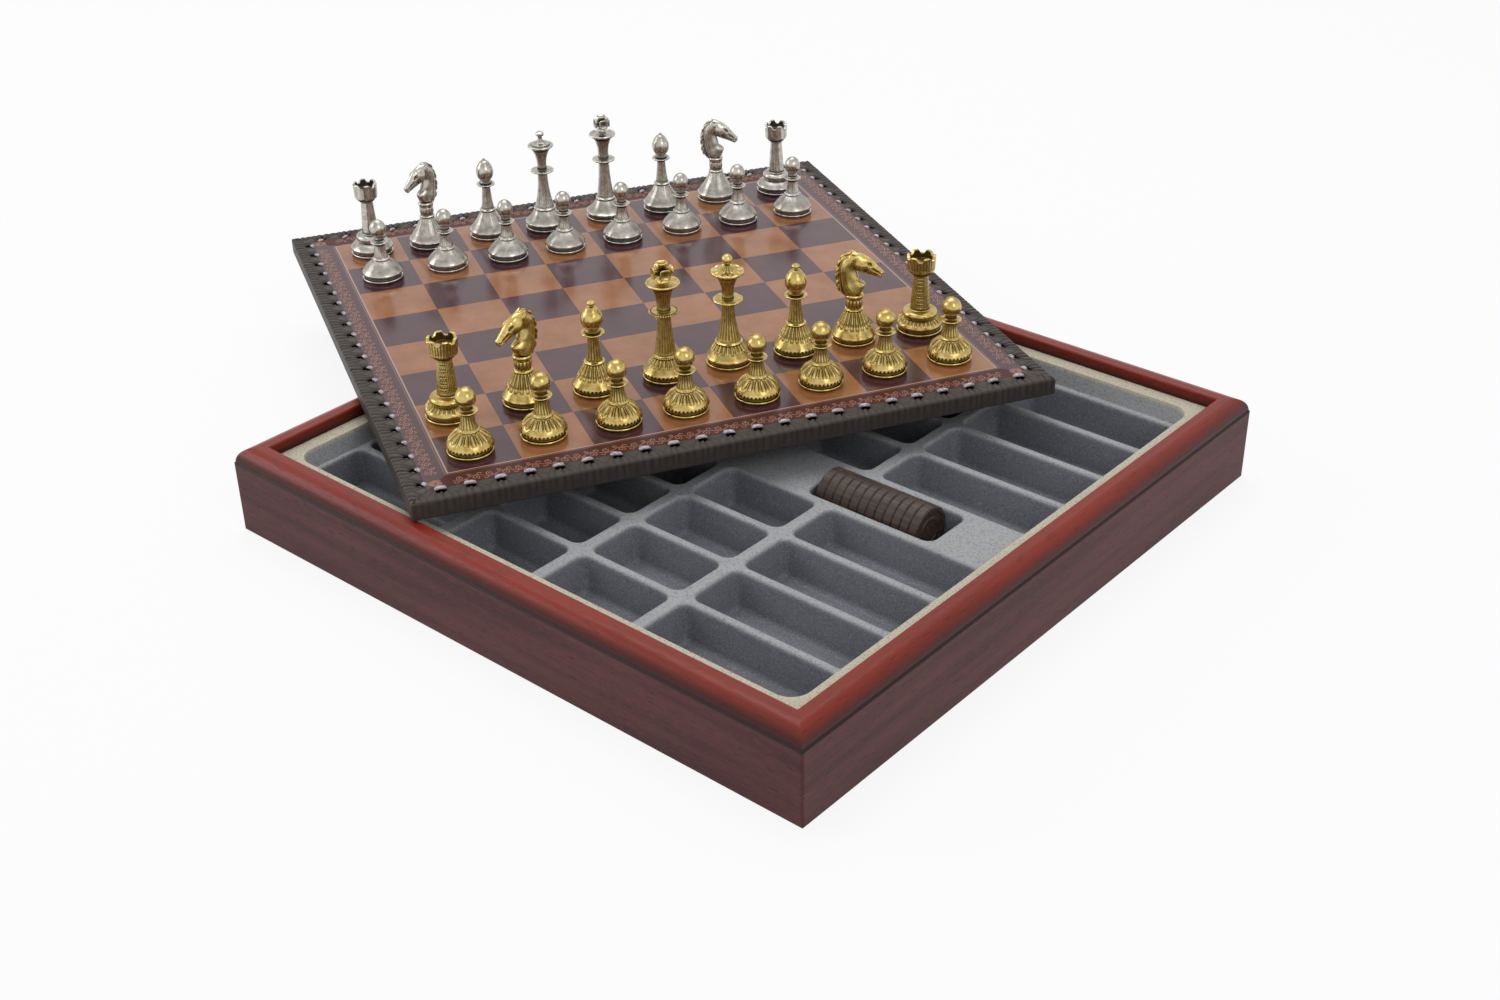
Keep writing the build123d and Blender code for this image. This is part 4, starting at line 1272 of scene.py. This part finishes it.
@dataclass
class Man:
    """One man of the set, worked out from its CAD node's place.

    Attributes:
        node: its CAD node, which is its body too.
        metal: its plating.
    """

    node: str
    metal: Metal

    @property
    def kind(self) -> str:
        """The man's rank, without metal or number."""
        return self.node.split("_")[1]

    @property
    def gold(self) -> bool:
        """Whether the man is of the gilt set, which is cast with sharper relief."""
        return self.metal is Metal.GOLD

    @property
    def faces_left(self) -> bool:
        """Whether a knight looks towards the first column."""
        return self.node == f"{self.metal.value}_knight_1"

    def tongues(self, low: float, high: float, count: int) -> Band:
        """The ring of tongues on the bell: sharp on gold, nearly worn away on silver."""
        return Band(Relief.TONGUES, low, high, count, 0.6 if self.gold else 0.08)

    def flutes(self, low: float, high: float, count: int, depth: float = 0.3) -> Band:
        """The flutes of a stem."""
        return Band(Relief.FLUTES, low, high, count, depth if self.gold else 0.3 * depth)

    def pawn(self) -> tuple[list[Stop], list[Band]]:
        """Outline and relief of a pawn."""
        ball = 28.9 if self.gold else 29.8
        stops = [(9.3, 8.4, 5.0, 11.4), *ring_stops(5.5, 11.7, 0.6, 4.7), (3.6, 16.4, 3.2, 20.6),
                 (3.5, 21.2), *ring_stops(5.5, 21.5, 0.7, 3.6), (3.0, 22.9), (2.9, ball - 4.4),
                 (5.05, ball, 0.9, ball + 5.1), (0, ball + 5.2)]
        return stops, [self.tongues(7.3, 11.3, 16), self.flutes(12.6, 20.6, 16)]

    def rook(self) -> tuple[list[Stop], list[Band]]:
        """Outline and relief of a rook."""
        stops = [(10.9, 6.9, 8.0, 8.3), (9.3, 10.2, 7.4, 12.2), (5.6, 12.5), (5.2, 12.8), (3.8, 32.2),
                 (4.5, 32.6), (5.1, 33.1, 4.7, 33.7), (5.6, 33.8), (7.0, 34.3), (7.2, 35.0), (7.6, 42.7),
                 (7.4, 43.0), (6.2, 43.0), (6.0, 42.7), (5.6, 38.6), (0, 38.6)]
        bands = [Band(Relief.LOBES, 32.5, 33.8, 26, 0.35),
                 self.flutes(35.2, 42.2, 30 if self.gold else 12, 0.22)]
        if self.gold:
            bands += [self.tongues(6.0, 8.2, 30), Band(Relief.MASONRY, 13.4, 31.8, 24, 0.28)]
        return stops, bands

    def bishop(self) -> tuple[list[Stop], list[Band]]:
        """Outline and relief of a bishop, with a button on gold and a point on silver."""
        stops = [(8.3, 9.8, 4.8, 15.6), *ring_stops(5.4, 16.0, 0.7, 4.2), (3.2, 23.6, 2.7, 30.6),
                 (3.1, 31.3), *ring_stops(6.0, 31.6, 0.8, 3.8), (4.2, 33.0, 3.6, 33.6), (2.9, 34.2),
                 (5.65, 39.4, 3.9, 44.0), (2.9, 45.4, 1.3, 46.4)]
        button = [(1.0, 46.9), (1.9, 47.3), (2.1, 47.9, 1.9, 48.5), (1.3, 49.0), (0, 49.0)]
        point = [(0.6, 47.3), (0.3, 47.6), (0, 47.6)]
        bands = [self.tongues(8.4, 15.4, 20), self.flutes(17.4, 30.4, 14)]
        return stops + (button if self.gold else point), bands

    def knight(self) -> tuple[list[Stop], list[Band]]:
        """Outline and relief of a knight, up to the ring that carries the horse's neck."""
        stops = [(7.7, 11.2, 4.5, 17.4), *ring_stops(4.9, 17.6, 0.8, 4.0), (4.1, 19.4),
                 (4.5, 21.4, 4.3, 23.2), (4.1, 23.6), (4.5, 24.0), (4.6, 25.0),
                 *ring_stops(5.0, 25.2, 1.1, 4.6), (0, 26.7)]
        return stops, [self.tongues(8.6, 17.2, 18), self.flutes(19.2, 23.4, 14)]

    def queen(self) -> tuple[list[Stop], list[Band]]:
        """Outline and relief of a queen, with a ball on gold and a flat knob on silver."""
        stops = [(9.1, 8.3, 6.7, 11.8), *ring_stops(7.2, 12.1, 0.7, 6.3), (4.2, 22.0, 3.2, 34.0),
                 (4.0, 34.9), *ring_stops(7.6, 35.2, 0.8, 3.2), (3.6, 43.6, 5.9, 48.9), (8.1, 50.3),
                 (8.4, 50.8, 8.0, 51.3)]
        ball = [(7.2, 51.1), (4.6, 51.4), (2.4, 52.7, 1.3, 54.6), (2.85, 57.4, 0.6, 60.2), (0, 60.3)]
        knob = [(6.4, 51.4), (6.2, 52.1), (5.2, 52.4), (2.6, 53.2, 1.4, 54.8), (1.3, 56.4), (2.5, 56.9),
                (2.7, 57.8, 2.4, 58.7), (1.5, 59.2), (0, 59.2)]
        bands = [self.tongues(7.9, 11.7, 22), self.flutes(13.6, 34.0, 20, 0.22),
                 self.flutes(38.0, 48.6, 20, 0.15)]
        if self.gold:
            bands += [Band(Relief.LOBES, 49.4, 51.35, 10, 0.35), Band(Relief.LOBES, 35.1, 36.1, 10, 0.25),
                      self.flutes(51.5, 54.4, 12)]
        return stops + (ball if self.gold else knob), bands

    def king(self) -> tuple[list[Stop], list[Band]]:
        """Outline and relief of a king, up to the neck of the cross."""
        stops = [(8.9, 8.0, 6.1, 11.6), *ring_stops(6.6, 11.9, 0.9, 5.6), (4.3, 22.0, 3.4, 34.4),
                 (4.2, 35.5), *ring_stops(7.5, 35.9, 0.9, 3.6), (3.9, 44.4, 6.0, 50.0), (8.4, 51.1),
                 (8.7, 51.7, 8.4, 52.3), (8.0, 52.2), (7.4, 51.7), (3.4, 51.8), (2.5, 52.4), (2.2, 53.2),
                 (1.6, 55.6), (0, 55.6)]
        bands = [self.tongues(7.8, 11.5, 22), self.flutes(13.6, 34.0, 20, 0.22),
                 self.flutes(38.0, 49.6, 20, 0.15)]
        if self.gold:
            bands += [Band(Relief.BEADS, 11.8, 12.9, 36, 0.3), Band(Relief.BEADS, 35.8, 36.9, 36, 0.35)]
        return stops, bands

    def profile(self) -> TurnedBody:
        """The lathe form of the man's rank on its foot, with the relief of its metal."""
        ranks = {"pawn": self.pawn, "rook": self.rook, "bishop": self.bishop, "knight": self.knight,
                 "queen": self.queen, "king": self.king}
        stops, bands = ranks[self.kind]()
        if self.gold and self.kind in ("pawn", "bishop", "king"):
            bands = [*bands, Band(Relief.BEADS, 3.35, 4.7, 36, 0.42)]
        return TurnedBody([*foot_stops(FOOT_MM[self.kind]), *stops], bands, GIRTH[self.metal],
                          around=168 if self.gold else 88,
                          battlement=Battlement() if self.kind == "rook" else None)

    def cross(self) -> list[Skin]:
        """The king's cross: six flared arms, four level, one up and one down."""
        reach = CROSS_REACH_MM[self.metal]
        arm = cross_arm(reach, reach * (0.52 if self.gold else 0.6))
        middle = Matrix.Translation((0, 0, KING_HEIGHT_MM - reach))
        turns = [Matrix.Rotation(k * math.pi / 2, 4, "Z") for k in range(4)]
        turns += [Matrix.Rotation(k * math.pi / 2, 4, "Y") for k in (-1, 1)]
        return [turned_by(arm, middle @ turn) for turn in turns]

    def centre(self) -> tuple[float, float, float]:
        """Where the man's axis meets the board, in millimetres.

        The round foot fills the node's box on its low sides, or on the high Y side for a knight that
        looks left, whose nose passes the foot.
        """
        low, high = (np.array(corner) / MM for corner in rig.box(self.node))
        foot = FOOT_MM[self.kind]
        return low[0] + foot, high[1] - foot if self.faces_left else low[1] + foot, low[2]

    def make(self, material: bpy.types.Material) -> bpy.types.Object:
        """Builds the man's mesh where its node stands.

        Args:
            material: the plating.

        Returns:
            The piece.
        """
        skins = [self.profile().skin()]
        if self.kind == "king":
            skins += self.cross()
        if self.kind == "knight":
            skins += HorseHead(GIRTH[self.metal]).skins()
        turn = BOARD_TURN
        if self.kind == "knight":
            turn += KNIGHT_TURNS[0 if self.faces_left else 1]
        place = Matrix.Translation(self.centre()) @ Matrix.Rotation(turn, 4, "Z")
        slot = "antique_gold" if self.gold else "antique_silver"
        return make_piece(f"{self.node}_cast", turned_by(joined(skins), place), material, self.node,
                          [self.node], slot)


# ---------------------------------------------------------------- board


def on_board(points: np.ndarray) -> np.ndarray:
    """Moves points from the board's own frame, its middle and underside at 0, to where it lies."""
    low, high = (np.array(corner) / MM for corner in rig.box("board_core"))
    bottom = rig.box("board_backing")[0][2] / MM
    cos, sin = math.cos(BOARD_TURN), math.sin(BOARD_TURN)
    x = points[..., 0] * cos - points[..., 1] * sin + (low[0] + high[0]) / 2
    y = points[..., 0] * sin + points[..., 1] * cos + (low[1] + high[1]) / 2
    return np.stack([x, y, points[..., 2] + bottom], axis=-1)


def around_side(points: np.ndarray, side: Side) -> np.ndarray:
    """Turns points of the front side to another side of the board."""
    cos, sin = math.cos(side.turn), math.sin(side.turn)
    return np.stack([points[..., 0] * cos - points[..., 1] * sin,
                     points[..., 0] * sin + points[..., 1] * cos, points[..., 2]], axis=-1)


def laid(skin: Skin, side: Side) -> Skin:
    """A skin made for the board's front side, laid on one of its sides where the board lies."""
    return skin.moved(lambda points: on_board(around_side(points, side)))


@dataclass
class LacedBoard:
    """The leather board: printed top, foil scrolls, gathered edge leather and lace loops.

    Attributes:
        thickness: the board's height, in millimetres.
        wrap: width of the edge leather on the top.
        under: width of the edge leather on the underside.
        leather: thickness of the leather.
        round_edge: radius of the folded edge.
        spacing: distance between the edge leather's points along the side.
        valleys: how many fold valleys lie between one stitch and the next.
        scroll_middle: distance from the board's middle to the middle of the scroll band.
        scroll_line: width of a printed line.
        scroll_repeats: repeats of the scroll along a side.
        finishes: the materials, made by dress().
    """

    thickness: float = 9.5
    wrap: float = 10.2
    under: float = 8.0
    leather: float = 1.2
    round_edge: float = 1.4
    spacing: float = 0.5
    valleys: int = 4
    scroll_middle: float = 150.7
    scroll_line: float = 0.36
    scroll_repeats: int = 20
    finishes: dict[str, bpy.types.Material] = field(default_factory=dict)

    def dress(self) -> None:
        """Makes the finishes and puts them on the nodes that stay."""
        self.finishes = {
            "print": PrintedLeather("printed_split_leather").build(),
            "foil": FoilPrint("copper_foil_scroll").build(),
            "edge": EdgeLeather("folded_edge_leather").build(),
            "lace": WaxedLace("waxed_lace").build(),
        }
        dress("playing_leather", self.finishes["print"])
        dress("board_core", RoughStock("fibreboard_core", "6B5A48", "54453A", 2.0).build())
        dress("board_backing", RoughStock("black_felt_backing", "2E2A2A", "1F1C1D", 1.2).build())

    def section(self) -> tuple[np.ndarray, np.ndarray, np.ndarray, np.ndarray]:
        """The edge leather's cross-section: out over the top, round the edge, down and in underneath.

        Returns:
            Each point's distance in from the board's edge, its height, and the outward and the upward
            part of the section's normal there.
        """
        top, r = self.thickness, self.round_edge
        bend = np.linspace(0, math.pi / 2, 7)[1:]
        sin, cos = np.sin(bend), np.cos(bend)
        inset = np.concatenate([[self.wrap, self.wrap], np.linspace(self.wrap - 0.35, r, 22), r - r * sin,
                                np.zeros(8), r - r * cos, np.linspace(r + 1, self.under, 4)])
        height = np.concatenate([[top - self.leather + 0.02, top - 0.35], np.full(22, top),
                                 top - r + r * cos, np.linspace(top - r - 0.8, r, 8), r - r * sin,
                                 np.zeros(4)])
        normal_out = np.concatenate([np.zeros(24), sin, np.ones(8), cos, np.zeros(4)])
        normal_up = np.concatenate([[0.2, 0.8], np.ones(22), cos, np.zeros(8), -sin, -np.ones(4)])
        return inset, height, normal_out, normal_up

    def edge_grid(self, side: Side) -> Skin:
        """The edge leather of one side as a sheet folded round the edge.

        The relief is added along the section's normal, never past the board's edge. Its valleys are
        Gaussians that fan out from each stitch and wander by two small sines. A cosine puffs the
        leather up between the stitches, a Gaussian pit sinks it 2.5 mm out from each stitch, and a
        narrow Gaussian tuck is deepest at the stitch and fades towards the board's edge.

        Args:
            side: which side of the board. The front's folds are weaker and don't slant.

        Returns:
            The open skin in the front side's place, with the depth of the folds as its numbers.
        """
        strength, slant = (0.42, 0.0) if side is Side.FRONT else (1.0, 0.02)
        inset, height, normal_out, normal_up = self.section()
        columns = int(2 * BOARD_HALF_MM / self.spacing)
        along = np.linspace(-1, 1, columns)[None, :] * (BOARD_HALF_MM - inset)[:, None]
        across = np.repeat(inset[:, None], columns, axis=1)
        down = np.repeat((self.thickness - height)[:, None], columns, axis=1)
        outwards = self.wrap - across
        phase = along / STITCH_PITCH_MM + 0.5 + slant * (outwards - down)
        from_stitch = phase - np.round(phase)
        stitch_mm = from_stitch * STITCH_PITCH_MM
        wobble = 0.12 * np.sin(along * 0.31 + 1.3 * side.value) + 0.08 * np.sin(along * 0.83)
        spread = from_stitch / (0.5 + 0.5 * smooth_step(outwards, 1.0, 8.0))
        line = self.valleys * spread + wobble
        valley = np.exp(-((line - np.round(line)) / 0.2) ** 2) * smooth_step(np.abs(spread), 0.62, 0.5)
        fan = np.exp(-(from_stitch / 0.34) ** 2)
        on_top = smooth_step(height, 1.5, self.thickness - 1)[:, None]
        fade = smooth_step(outwards, 0.3, 2.0) * (0.35 + 0.65 * on_top)
        fold = (0.45 - 1.45 * valley) * (0.35 + 0.65 * fan) * fade * strength
        puff = -0.45 * np.cos(2 * math.pi * from_stitch) * smooth_step(across, 4.0, 9.0) * on_top * strength
        pit = np.exp(-(stitch_mm / 2.1) ** 2 - ((outwards - 2.5) / 1.6) ** 2) * on_top
        tuck = 0.35 * np.exp(-stitch_mm ** 2) * on_top * smooth_step(across, 2.0, 8.0)
        moved = 0.6 * fold + 0.35 * puff - 1.15 * pit - tuck - 0.25 * (1 - on_top) * strength
        moved[-5:] = 0
        y = -BOARD_HALF_MM + across + normal_out[:, None] * np.minimum(moved, 0.0)
        z = height[:, None] + normal_up[:, None] * moved
        # Painted light and shade: ridges and puffs lighter, pits, tucks and fold valleys darker.
        tone = np.clip(0.62 + 0.62 * np.minimum(fold, 0.45) + 0.2 * puff - 1.3 * pit - 0.5 * tuck, 0, 1)
        return sheet_skin(np.stack([along, np.maximum(y, -BOARD_HALF_MM), z], axis=-1), tone)

    def edge_leather(self) -> None:
        """Builds the four gathered edge strips in place of the plain ones."""
        for side in Side:
            name = side.name.lower()
            make_piece(f"gathered_edge_{name}", laid(self.edge_grid(side), side), self.finishes["edge"],
                       "board", [f"edge_leather_{name}"], "edge_leather", "fold")

    def loop(self, length: float, width: float, height: float) -> Skin:
        """One lace loop: a flattened arch, its section a superellipse that narrows to both ends."""
        t = np.linspace(-1, 1, 15)
        angle = np.linspace(0, 2 * math.pi, 12, endpoint=False)
        arch = height * np.sqrt(np.clip(1 - t ** 2, 0, 1))
        size = 0.35 + 0.65 * np.sqrt(np.clip(1 - np.abs(t) ** 3, 0, 1))
        x = t[:, None] * length / 2 + 0 * angle[None, :]
        y = size[:, None] * width / 2 * np.cos(angle)[None, :]
        z = arch[:, None] * 0.55 - 0.5 + size[:, None] * (height * 0.5) * np.sin(angle)[None, :]
        return tube_skin(np.stack([x, y, z], axis=-1))

    def laces(self) -> None:
        """Builds every loop along the inner side of the edge leather, a little uneven as hand lacing is."""
        rng = np.random.default_rng(7)
        places = (np.arange(STITCHES_A_SIDE) - (STITCHES_A_SIDE - 1) / 2) * STITCH_PITCH_MM
        skins = []
        for side in Side:
            longer = side is Side.FRONT
            base = self.loop(6.2, 2.7, 1.7) if longer else self.loop(3.8, 2.4, 1.5)
            for place in places:
                twist = rng.normal(0, 0.12) + (0.0 if longer else 0.35)
                shift = rng.normal(0, 0.25, 2)
                inwards = -BOARD_HALF_MM + self.wrap - 0.4 + shift[1] * 0.4
                matrix = (Matrix.Translation((place + shift[0], inwards, self.thickness))
                          @ Matrix.Rotation(twist, 4, "Z"))
                skins.append(laid(turned_by(base, matrix), side))
        make_piece("lace_loops", joined(skins), self.finishes["lace"], "board", ["lace_stitches"],
                   "lace_cord")

    def ribbon(self, path: np.ndarray, width: float) -> Skin:
        """A flat printed line: a strip of constant width along a path, a hair above the leather."""
        step = np.gradient(path, axis=0)
        step /= np.linalg.norm(step, axis=1)[:, None]
        normal = np.stack([-step[:, 1], step[:, 0]], axis=1) * width / 2
        lift = np.full((len(path), 1), self.thickness + 0.03)
        grid = np.stack([np.hstack([path + normal, lift]), np.hstack([path - normal, lift])], axis=0)
        return sheet_skin(grid)

    def spiral(self, centre: Sequence[float], start: float, turns: float, radius: float) -> np.ndarray:
        """Points on a spiral whose radius shrinks evenly to a fifth."""
        t = np.linspace(0, 1, 26)
        angle = start + turns * 2 * math.pi * t
        r = radius * (1 - 0.8 * t)
        return np.stack([centre[0] + r * np.cos(angle), centre[1] + r * np.sin(angle)], axis=1)

    def scroll_repeat(self) -> list[np.ndarray]:
        """The lines of one repeat of the running scroll: vine, curls above and below, and leaves."""
        pitch = STITCH_PITCH_MM
        x = np.linspace(-pitch / 2, pitch / 2, 36)
        t = np.linspace(0, 1, 14)
        lines = [np.stack([x, 1.7 * np.sin(2 * math.pi * x / pitch)], axis=1)]
        for sign in (1, -1):
            lines.append(self.spiral((sign * pitch * 0.25, -sign * 0.9), -sign * 1.2, 1.35, 2.1))
            lines.append(self.spiral((sign * pitch * 0.06, sign * 2.6), sign * 2.2, -1.1, 1.25))
            lines.append(np.stack([sign * pitch * (0.32 + 0.17 * t),
                                   sign * (2.0 + 1.5 * np.sin(t * math.pi))], axis=1))
        return [line * (1, 0.86) for line in lines]

    def scrolls(self) -> None:
        """Stamps the running scroll along all four sides, and three curls at each corner."""
        repeat = self.scroll_repeat()
        starts = (np.arange(self.scroll_repeats) - (self.scroll_repeats - 1) / 2) * STITCH_PITCH_MM
        paths = [line + (start, -self.scroll_middle) for start in starts for line in repeat]
        corner = (self.scroll_middle - 0.5, 0.5 - self.scroll_middle)
        paths += [self.spiral(corner, turn * 2.1, 1.4, 3.2) for turn in range(3)]
        skins = [laid(self.ribbon(path, self.scroll_line), side) for side in Side for path in paths]
        make_piece("foil_scrolls", joined(skins), self.finishes["foil"], "board", slot="printed_leather")

    def build(self) -> None:
        """Builds and dresses the whole board."""
        self.dress()
        self.edge_leather()
        self.laces()
        self.scrolls()
        LOG.info("laced board built")


# ---------------------------------------------------------------- case and draughts


@dataclass
class Case:
    """The wooden case with its panel and tray, all CAD nodes with new finishes."""

    def build(self) -> None:
        """Dresses rails with grain along their length, the panel and the tray."""
        long_x = StainedMahogany("stained_mahogany_front", grain_turn=0.0).build()
        long_y = StainedMahogany("stained_mahogany_side", grain_turn=math.pi / 2).build()
        for side in Side:
            grain = long_x if side in (Side.FRONT, Side.BACK) else long_y
            dress(f"case_rail_{side.name.lower()}", grain)
        dress("bottom_panel", RoughStock("raw_ply_panel", "A07B55", "8A6644", 6.0).build())
        dress("flocked_tray", FlockedSheet("grey_flocked_sheet").build())
        LOG.info("case dressed")


@dataclass
class Draughts:
    """Both stacks of draughts."""

    def build(self) -> None:
        """Dresses the stacks in pressed brown composition."""
        dress("dark_draughts", PressedDraught("dark_pressed_draughts").build())
        dress("tan_draughts", PressedDraught("tan_pressed_draughts", "A8815A", "C49C72").build())
        LOG.info("draughts dressed")


@dataclass
class ChessMen:
    """All thirty-two men."""

    gold: AntiquedPlating = AntiquedPlating("antiqued_gold_plate")
    silver: AntiquedPlating = AntiquedPlating("antiqued_silver_plate", "CFCBC2", "A8A299", "171412",
                                              0.22, 0.5)

    def build(self) -> None:
        """Builds each man from its node's name."""
        plates = {Metal.GOLD: self.gold.build(), Metal.SILVER: self.silver.build()}
        for node in sorted(frame["nodes"]):
            for metal, plate in plates.items():
                if node.startswith(metal.value + "_"):
                    Man(node, metal).make(plate)
        LOG.info("men built")


# ---------------------------------------------------------------- studio


@dataclass
class Studio:
    """Pale floor, soft lights and the camera at the photograph's viewing angle.

    Attributes:
        azimuth: degrees from looking along +Y.
        elevation: degrees above the horizon.
        roll: degrees the camera leans.
        lens: focal length for a 36 mm wide sensor.
        position: the camera's place in millimetres.
        aim: the point that the lamps face, in metres.
        paper: grey level of the floor.
        white_share: how much of the floor's look is plain white.
        room_strength: the room's brightness for the light that it throws on surfaces.
    """

    azimuth: float = 40.93
    elevation: float = 30.85
    roll: float = -0.949
    lens: float = 46.61
    position: tuple[float, float, float] = (555.2, -641.2, 507.8)
    aim: tuple[float, float, float] = (-0.05, 0.03, 0.05)
    paper: float = 0.88
    white_share: float = 0.88
    room_strength: float = 0.45

    def camera(self) -> None:
        """Places the camera: its back axis from azimuth and elevation, its up axis leaned by the roll."""
        a, e, r = (math.radians(v) for v in (self.azimuth, self.elevation, self.roll))
        back = Vector((math.sin(a) * math.cos(e), -math.cos(a) * math.cos(e), math.sin(e)))
        right = Vector((math.cos(a), math.sin(a), 0))
        up = back.cross(right)
        leaned_right = right * math.cos(r) + up * math.sin(r)
        leaned_up = up * math.cos(r) - right * math.sin(r)
        data = bpy.data.cameras.new("camera")
        data.lens = self.lens
        data.sensor_width = 36.0
        data.sensor_fit = "HORIZONTAL"
        data.clip_start = 0.01
        camera = bpy.data.objects.new("camera", data)
        matrix = Matrix((leaned_right, leaned_up, back)).transposed().to_4x4()
        matrix.translation = Vector(self.position) * MM
        camera.matrix_world = matrix
        bpy.context.scene.collection.objects.link(camera)
        bpy.context.scene.camera = camera

    def lamp(self, name: str, place: Sequence[float], size: tuple[float, float], power: float) -> None:
        """Adds one white soft box.

        Args:
            name: its name.
            place: where it stands, in metres.
            size: its width and height in metres.
            power: its power in watts.
        """
        data = bpy.data.lights.new(name, "AREA")
        data.shape = "RECTANGLE"
        data.size, data.size_y = size
        data.energy = power
        lamp = bpy.data.objects.new(name, data)
        lamp.location = place
        lamp.rotation_euler = (Vector(self.aim) - Vector(place)).to_track_quat("-Z", "Y").to_euler()
        bpy.context.scene.collection.objects.link(lamp)

    def seen_white(self, tree: bpy.types.NodeTree) -> Any:
        """The socket that is 1 for what the eye sees, straight or mirrored, and 0 for light on surfaces."""
        path = add_node(tree, "ShaderNodeLightPath").outputs
        both = add_node(tree, "ShaderNodeMath", {0: path["Is Camera Ray"], 1: path["Is Glossy Ray"]},
                        operation="MAXIMUM").outputs[0]
        return add_node(tree, "ShaderNodeMath", {0: both, 1: path["Is Transmission Ray"]},
                        operation="MAXIMUM").outputs[0]

    def floor(self) -> None:
        """A wide pale floor: to the camera mostly plain white, so that only a soft shadow shows."""
        half = 6.0
        mesh = bpy.data.meshes.new("studio_floor")
        corners = [(-half, -half, 0), (half, -half, 0), (half, half, 0), (-half, half, 0)]
        mesh.from_pydata(corners, [], [(0, 1, 2, 3)])
        material = bpy.data.materials.new("studio_paper")
        material.use_nodes = True
        tree = material.node_tree
        tree.nodes.clear()
        paper = add_node(tree, "ShaderNodeBsdfDiffuse", {"Color": (self.paper,) * 3 + (1,)}).outputs[0]
        white = add_node(tree, "ShaderNodeEmission", {"Color": (1, 1, 1, 1), "Strength": 1.0}).outputs[0]
        share = add_node(tree, "ShaderNodeMath", {0: self.seen_white(tree), 1: self.white_share},
                         operation="MULTIPLY").outputs[0]
        mixed = add_node(tree, "ShaderNodeMixShader", {0: share, 1: paper, 2: white}).outputs[0]
        add_node(tree, "ShaderNodeOutputMaterial", {"Surface": mixed})
        mesh.materials.append(material)
        floor = bpy.data.objects.new("studio_floor", mesh)
        floor.location = (0, 0, -0.0002)
        bpy.context.scene.collection.objects.link(floor)
        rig.stage(floor)

    def world(self) -> None:
        """An even pale room, white to the camera and in reflections."""
        world = bpy.data.worlds.new("studio_room")
        world.use_nodes = True
        tree = world.node_tree
        tree.nodes.clear()
        room, white = (
            add_node(tree, "ShaderNodeBackground", {"Color": colour, "Strength": strength}).outputs[0]
            for colour, strength in (((0.98, 0.99, 1, 1), self.room_strength), ((1, 1, 1, 1), 1.0)))
        mixed = add_node(tree, "ShaderNodeMixShader",
                         {0: self.seen_white(tree), 1: room, 2: white}).outputs[0]
        add_node(tree, "ShaderNodeOutputWorld", {"Surface": mixed})
        bpy.context.scene.world = world

    def build(self) -> None:
        """Builds the whole studio."""
        self.camera()
        self.floor()
        self.world()
        self.lamp("softbox_above", (-0.5, 0.4, 1.9), (1.6, 1.2), power=17)
        self.lamp("softbox_left", (-1.7, -1.1, 1.0), (1.0, 1.2), power=10)
        self.lamp("softbox_right", (1.6, -0.5, 1.3), (0.7, 1.0), power=6)
        scene = bpy.context.scene
        scene.view_settings.view_transform = "Standard"
        LOG.info("studio built")


def write_sizes() -> None:
    """Keeps the CAD box and the visual model's box side by side."""
    boxes = {"cad": [list(map(float, corner)) for corner in CAD_BOX],
             "visual": [list(map(float, corner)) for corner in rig.bounds()]}
    with open("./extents.json", "w") as handle:
        json.dump(boxes, handle)


def main() -> None:
    """Builds the studio and every sub-assembly in order, and reports each piece."""
    logging.basicConfig(level=logging.INFO, format="%(name)s: %(message)s")
    Studio().build()
    for assembly in (Case(), Draughts(), LacedBoard(), ChessMen()):
        assembly.build()
    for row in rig.table()["pieces"]:
        LOG.info("%s rides on %s", row["piece"], row["bodies"])
    write_sizes()


if __name__ == "__main__":
    main()
